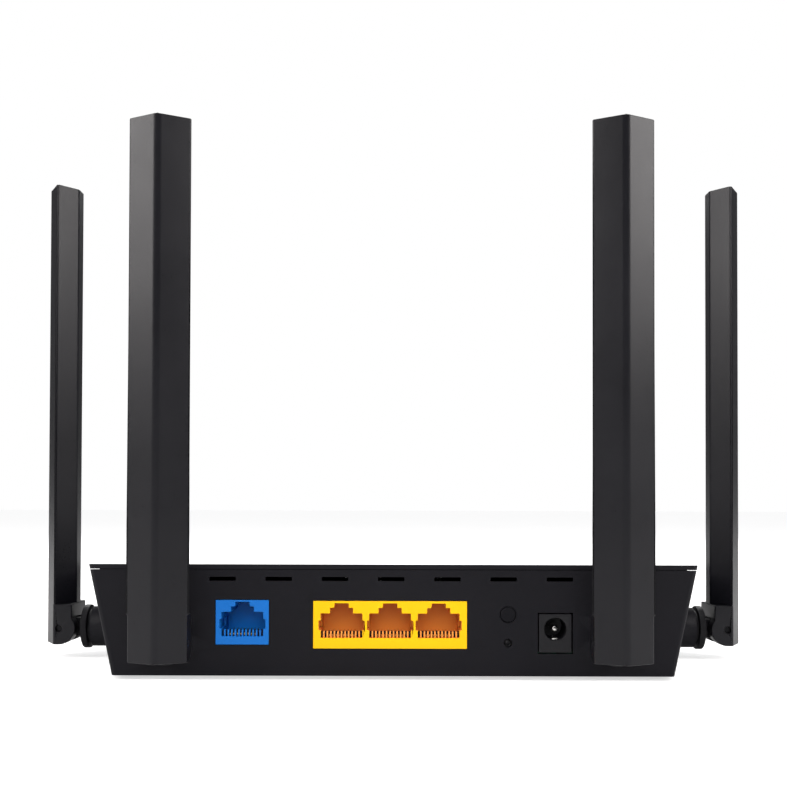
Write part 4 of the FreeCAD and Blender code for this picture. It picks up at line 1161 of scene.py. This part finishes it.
@dataclass
class MainBoard(Assembly):
    """The board and what stands on it."""

    edge_mm: float = 0.12
    own_edges_mm: dict[str, float] = field(
        default_factory=lambda: {"main_board": 0.0, "heat_sink": 0.15, "radio_shield": 0.2}
    )
    chip_legs: int = 17
    transformer_legs: int = 8

    def build(self) -> None:
        """Makes every piece."""
        body = Rig.HOUSING.value
        for node, finish in (
            ("main_board", BOARD), ("processor", CHIP), ("memory_chip", CHIP), ("radio_chip", CHIP),
            ("thermal_pad", PAD), ("heat_sink", SINK), ("radio_shield", SHIELD), ("status_lamps", LAMP),
            ("light_guide", GUIDE), ("lead_plugs", BRASS), ("line_transformers", CHIP),
        ):
            self.softened(node, finish, body, self.own_edges_mm.get(node, self.edge_mm))
        for site in Site:
            self.dress(site.value + "_lead", LEAD)
        self.capacitors(body)
        self.legs(body)

    def capacitors(self, body: str) -> None:
        """Sleeved cans with a rolled neck and a scored top."""
        boxes = solids_of("capacitors")
        radius, tall = turned_size(boxes[0])
        profile = [(0.0, 0.0), (radius * 0.86, 0.0), (radius * 0.97, 0.15), (radius, 0.5), (radius, 1.2)]
        profile += [(radius * 0.9, 1.5), (radius * 0.9, 1.7), (radius, 2.0), (radius, tall - 0.5)]
        profile += [(radius * 0.96, tall - 0.15), (radius * 0.82, tall), (radius * 0.78, tall - 0.12)]
        profile.append((0.0, tall - 0.12))
        can = lathe("can", profile, 48)
        thin, arm, top = 0.12 * MM, radius * 0.6 * MM, tall * MM
        carve(can, crossed((arm, thin), top - 0.3 * MM, top + MM))
        smoothed(can)
        made = self.spots.place("capacitors_look", can, SLEEVE, undersides(boxes))
        self.keep(made, SLEEVE, body, "capacitors")

    def legs(self, body: str) -> None:
        """Gull-wing legs along the transformers and the memory chip."""
        made = []
        low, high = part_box("memory_chip")
        for side in (-1, 1):
            x = high.x if side > 0 else low.x
            leg = self.leg(side, 0.8, 0.3, 0.7)
            start = (x, low.y + 0.7 * MM, low.z)
            made.append(self.rows.place("legs", leg, PIN, self.chip_legs, start, (0.0, 0.78 * MM, 0.0)))
        for box in solids_of("line_transformers"):
            for side in (-1, 1):
                leg = shifted(self.leg(1, 0.9, 0.5, 1.0), Matrix.Rotation(side * QUARTER, 4, "Z"))
                start = (box[0].x + 0.95 * MM, box[1].y if side > 0 else box[0].y, box[0].z)
                step = (1.3 * MM, 0.0, 0.0)
                made.append(self.rows.place("legs", leg, PIN, self.transformer_legs, start, step))
        self.keep(joined("chip_legs", made), PIN, body)

    @staticmethod
    def leg(side: int, reach: float, wide: float, tall: float) -> Item:
        """One bent leg that stands out along X, in millimetres."""
        thick = 0.12
        route = [(0.0, tall), (reach * 0.35, tall), (reach * 0.55, tall * 0.6)]
        route += [(reach * 0.6, thick), (reach, thick)]
        rings = []
        for x, z in route:
            corners = ((-wide, -thick), (wide, -thick), (wide, thick), (-wide, thick))
            rings.append([(side * x * MM, y / 2 * MM, (z + t / 2) * MM) for y, t in corners])
        return ribbon("leg", rings)


# --- the studio


@dataclass(frozen=True)
class Softbox:
    """A rectangular lamp that looks at the router."""

    name: str
    place: Triple
    size: tuple[float, float]
    watts: float
    colour: Triple = WHITE
    target: Triple = (0.0, 0.0, 0.06)
    glossy: bool = True

    def hang(self) -> None:
        """Puts the lamp into the scene."""
        lamp = bpy.data.lights.new(self.name, "AREA")
        lamp.shape = "RECTANGLE"
        lamp.size, lamp.size_y = self.size
        lamp.energy = self.watts
        lamp.color = self.colour
        item = placed(self.name, lamp)
        item.location = self.place
        item.visible_glossy = self.glossy
        aim = Vector(self.target) - Vector(self.place)
        item.rotation_euler = aim.to_track_quat("-Z", "Y").to_euler()


@dataclass
class Studio:
    """A pale floor, soft lamps and the camera."""

    lens_mm: float = 50.5
    sensor_mm: float = 36.0
    eye: Triple = (0.0, -0.3739, 0.0492)
    tilt_deg: float = 1.0
    roll_deg: float = -0.15
    rise: float = 0.1222
    floor_m: float = 30.0
    air: float = 0.1
    backdrop: float = 1.0
    glow: float = 0.6
    sun_watts: float = 1.3
    sun_wide_deg: float = 70.0
    boxes: tuple[Softbox, ...] = (
        Softbox("left_box", (-1.15, -0.42, 0.72), (0.7, 0.8), 15.0, (1.0, 0.965, 0.955)),
        Softbox("right_box", (1.15, -0.42, 0.72), (0.7, 0.8), 15.0, (1.0, 0.965, 0.955)),
        Softbox("camera_box", (0.0, -1.5, 0.5), (1.2, 0.6), 13.0, glossy=False),
        Softbox("back_box", (0.0, 1.1, 0.9), (1.4, 0.7), 10.0),
    )

    def build(self) -> None:
        """Sets up everything that isn't part of the router."""
        self.floor()
        self.sky()
        for lamp in self.boxes:
            lamp.hang()
        self.sun()
        self.camera()

    def floor(self) -> None:
        """A wide pale floor that looks whiter to the camera than the light it gives."""
        made = bmesh.new()
        bmesh.ops.create_circle(made, cap_ends=True, radius=self.floor_m, segments=96)
        ground = from_bmesh("floor", made)
        shade = Shade("pale floor")
        drift = shade.noise(180.0, 2.0)
        tint = shade.mix(shade.spread(drift, 0.0, 1.0), (0.7, 0.7, 0.705), (0.73, 0.73, 0.735))
        seen = shade.add("ShaderNodeLightPath").of("Is Camera Ray")
        glow = shade.mix(seen, BLACK, (self.glow, self.glow, self.glow))
        material = shade.surface(
            Base_Color=tint, Roughness=0.9, Specular_IOR_Level=0.1, Emission_Color=glow, Emission_Strength=1.0
        )
        ground.data.materials.append(material)

    def sky(self) -> None:
        """A pale surround that lights the router more gently than it looks."""
        world = bpy.data.worlds.new("surround")
        bpy.context.scene.world = world
        world.use_nodes = True
        book = NodeBook(world.node_tree)
        seen = book.add("ShaderNodeLightPath").of("Is Camera Ray")
        strength = seen * (self.backdrop - self.air) + self.air
        surround = book.add("ShaderNodeBackground", None, {"Color": (*WHITE, 1.0), "Strength": strength})
        book.add("ShaderNodeOutputWorld", None, {"Surface": surround})

    def sun(self) -> None:
        """A wide soft lamp straight above, which keeps the floor even."""
        lamp = bpy.data.lights.new("ceiling", "SUN")
        lamp.energy = self.sun_watts
        lamp.angle = math.radians(self.sun_wide_deg)
        placed("ceiling", lamp)

    def camera(self) -> None:
        """A camera that looks square at the rear panel, tilted up a little."""
        data = bpy.data.cameras.new("camera")
        data.lens = self.lens_mm
        data.sensor_width = self.sensor_mm
        data.shift_y = self.rise
        data.clip_start = 0.01
        item = placed("camera", data)
        item.location = self.eye
        tilt = QUARTER + math.radians(self.tilt_deg)
        item.rotation_euler = (tilt, math.radians(self.roll_deg), 0.0)
        scene = bpy.context.scene
        scene.camera = item
        scene.view_settings.view_transform = "Standard"


def main() -> None:
    """Loads the frame and builds every sub-assembly round it."""
    logging.basicConfig(level=logging.INFO, format="%(name)s %(message)s")
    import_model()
    tools = (RowSeries(), SpotSeries(), ThreadSeries())
    for kind in (Case, NetworkSockets, PowerJack, Buttons, Aerials, MainBoard):
        assembly = kind(*tools)
        assembly.build()
        LOG.info("%s made %d pieces", kind.__name__, len(assembly.made))
    Studio().build()


if __name__ == "__main__":
    main()
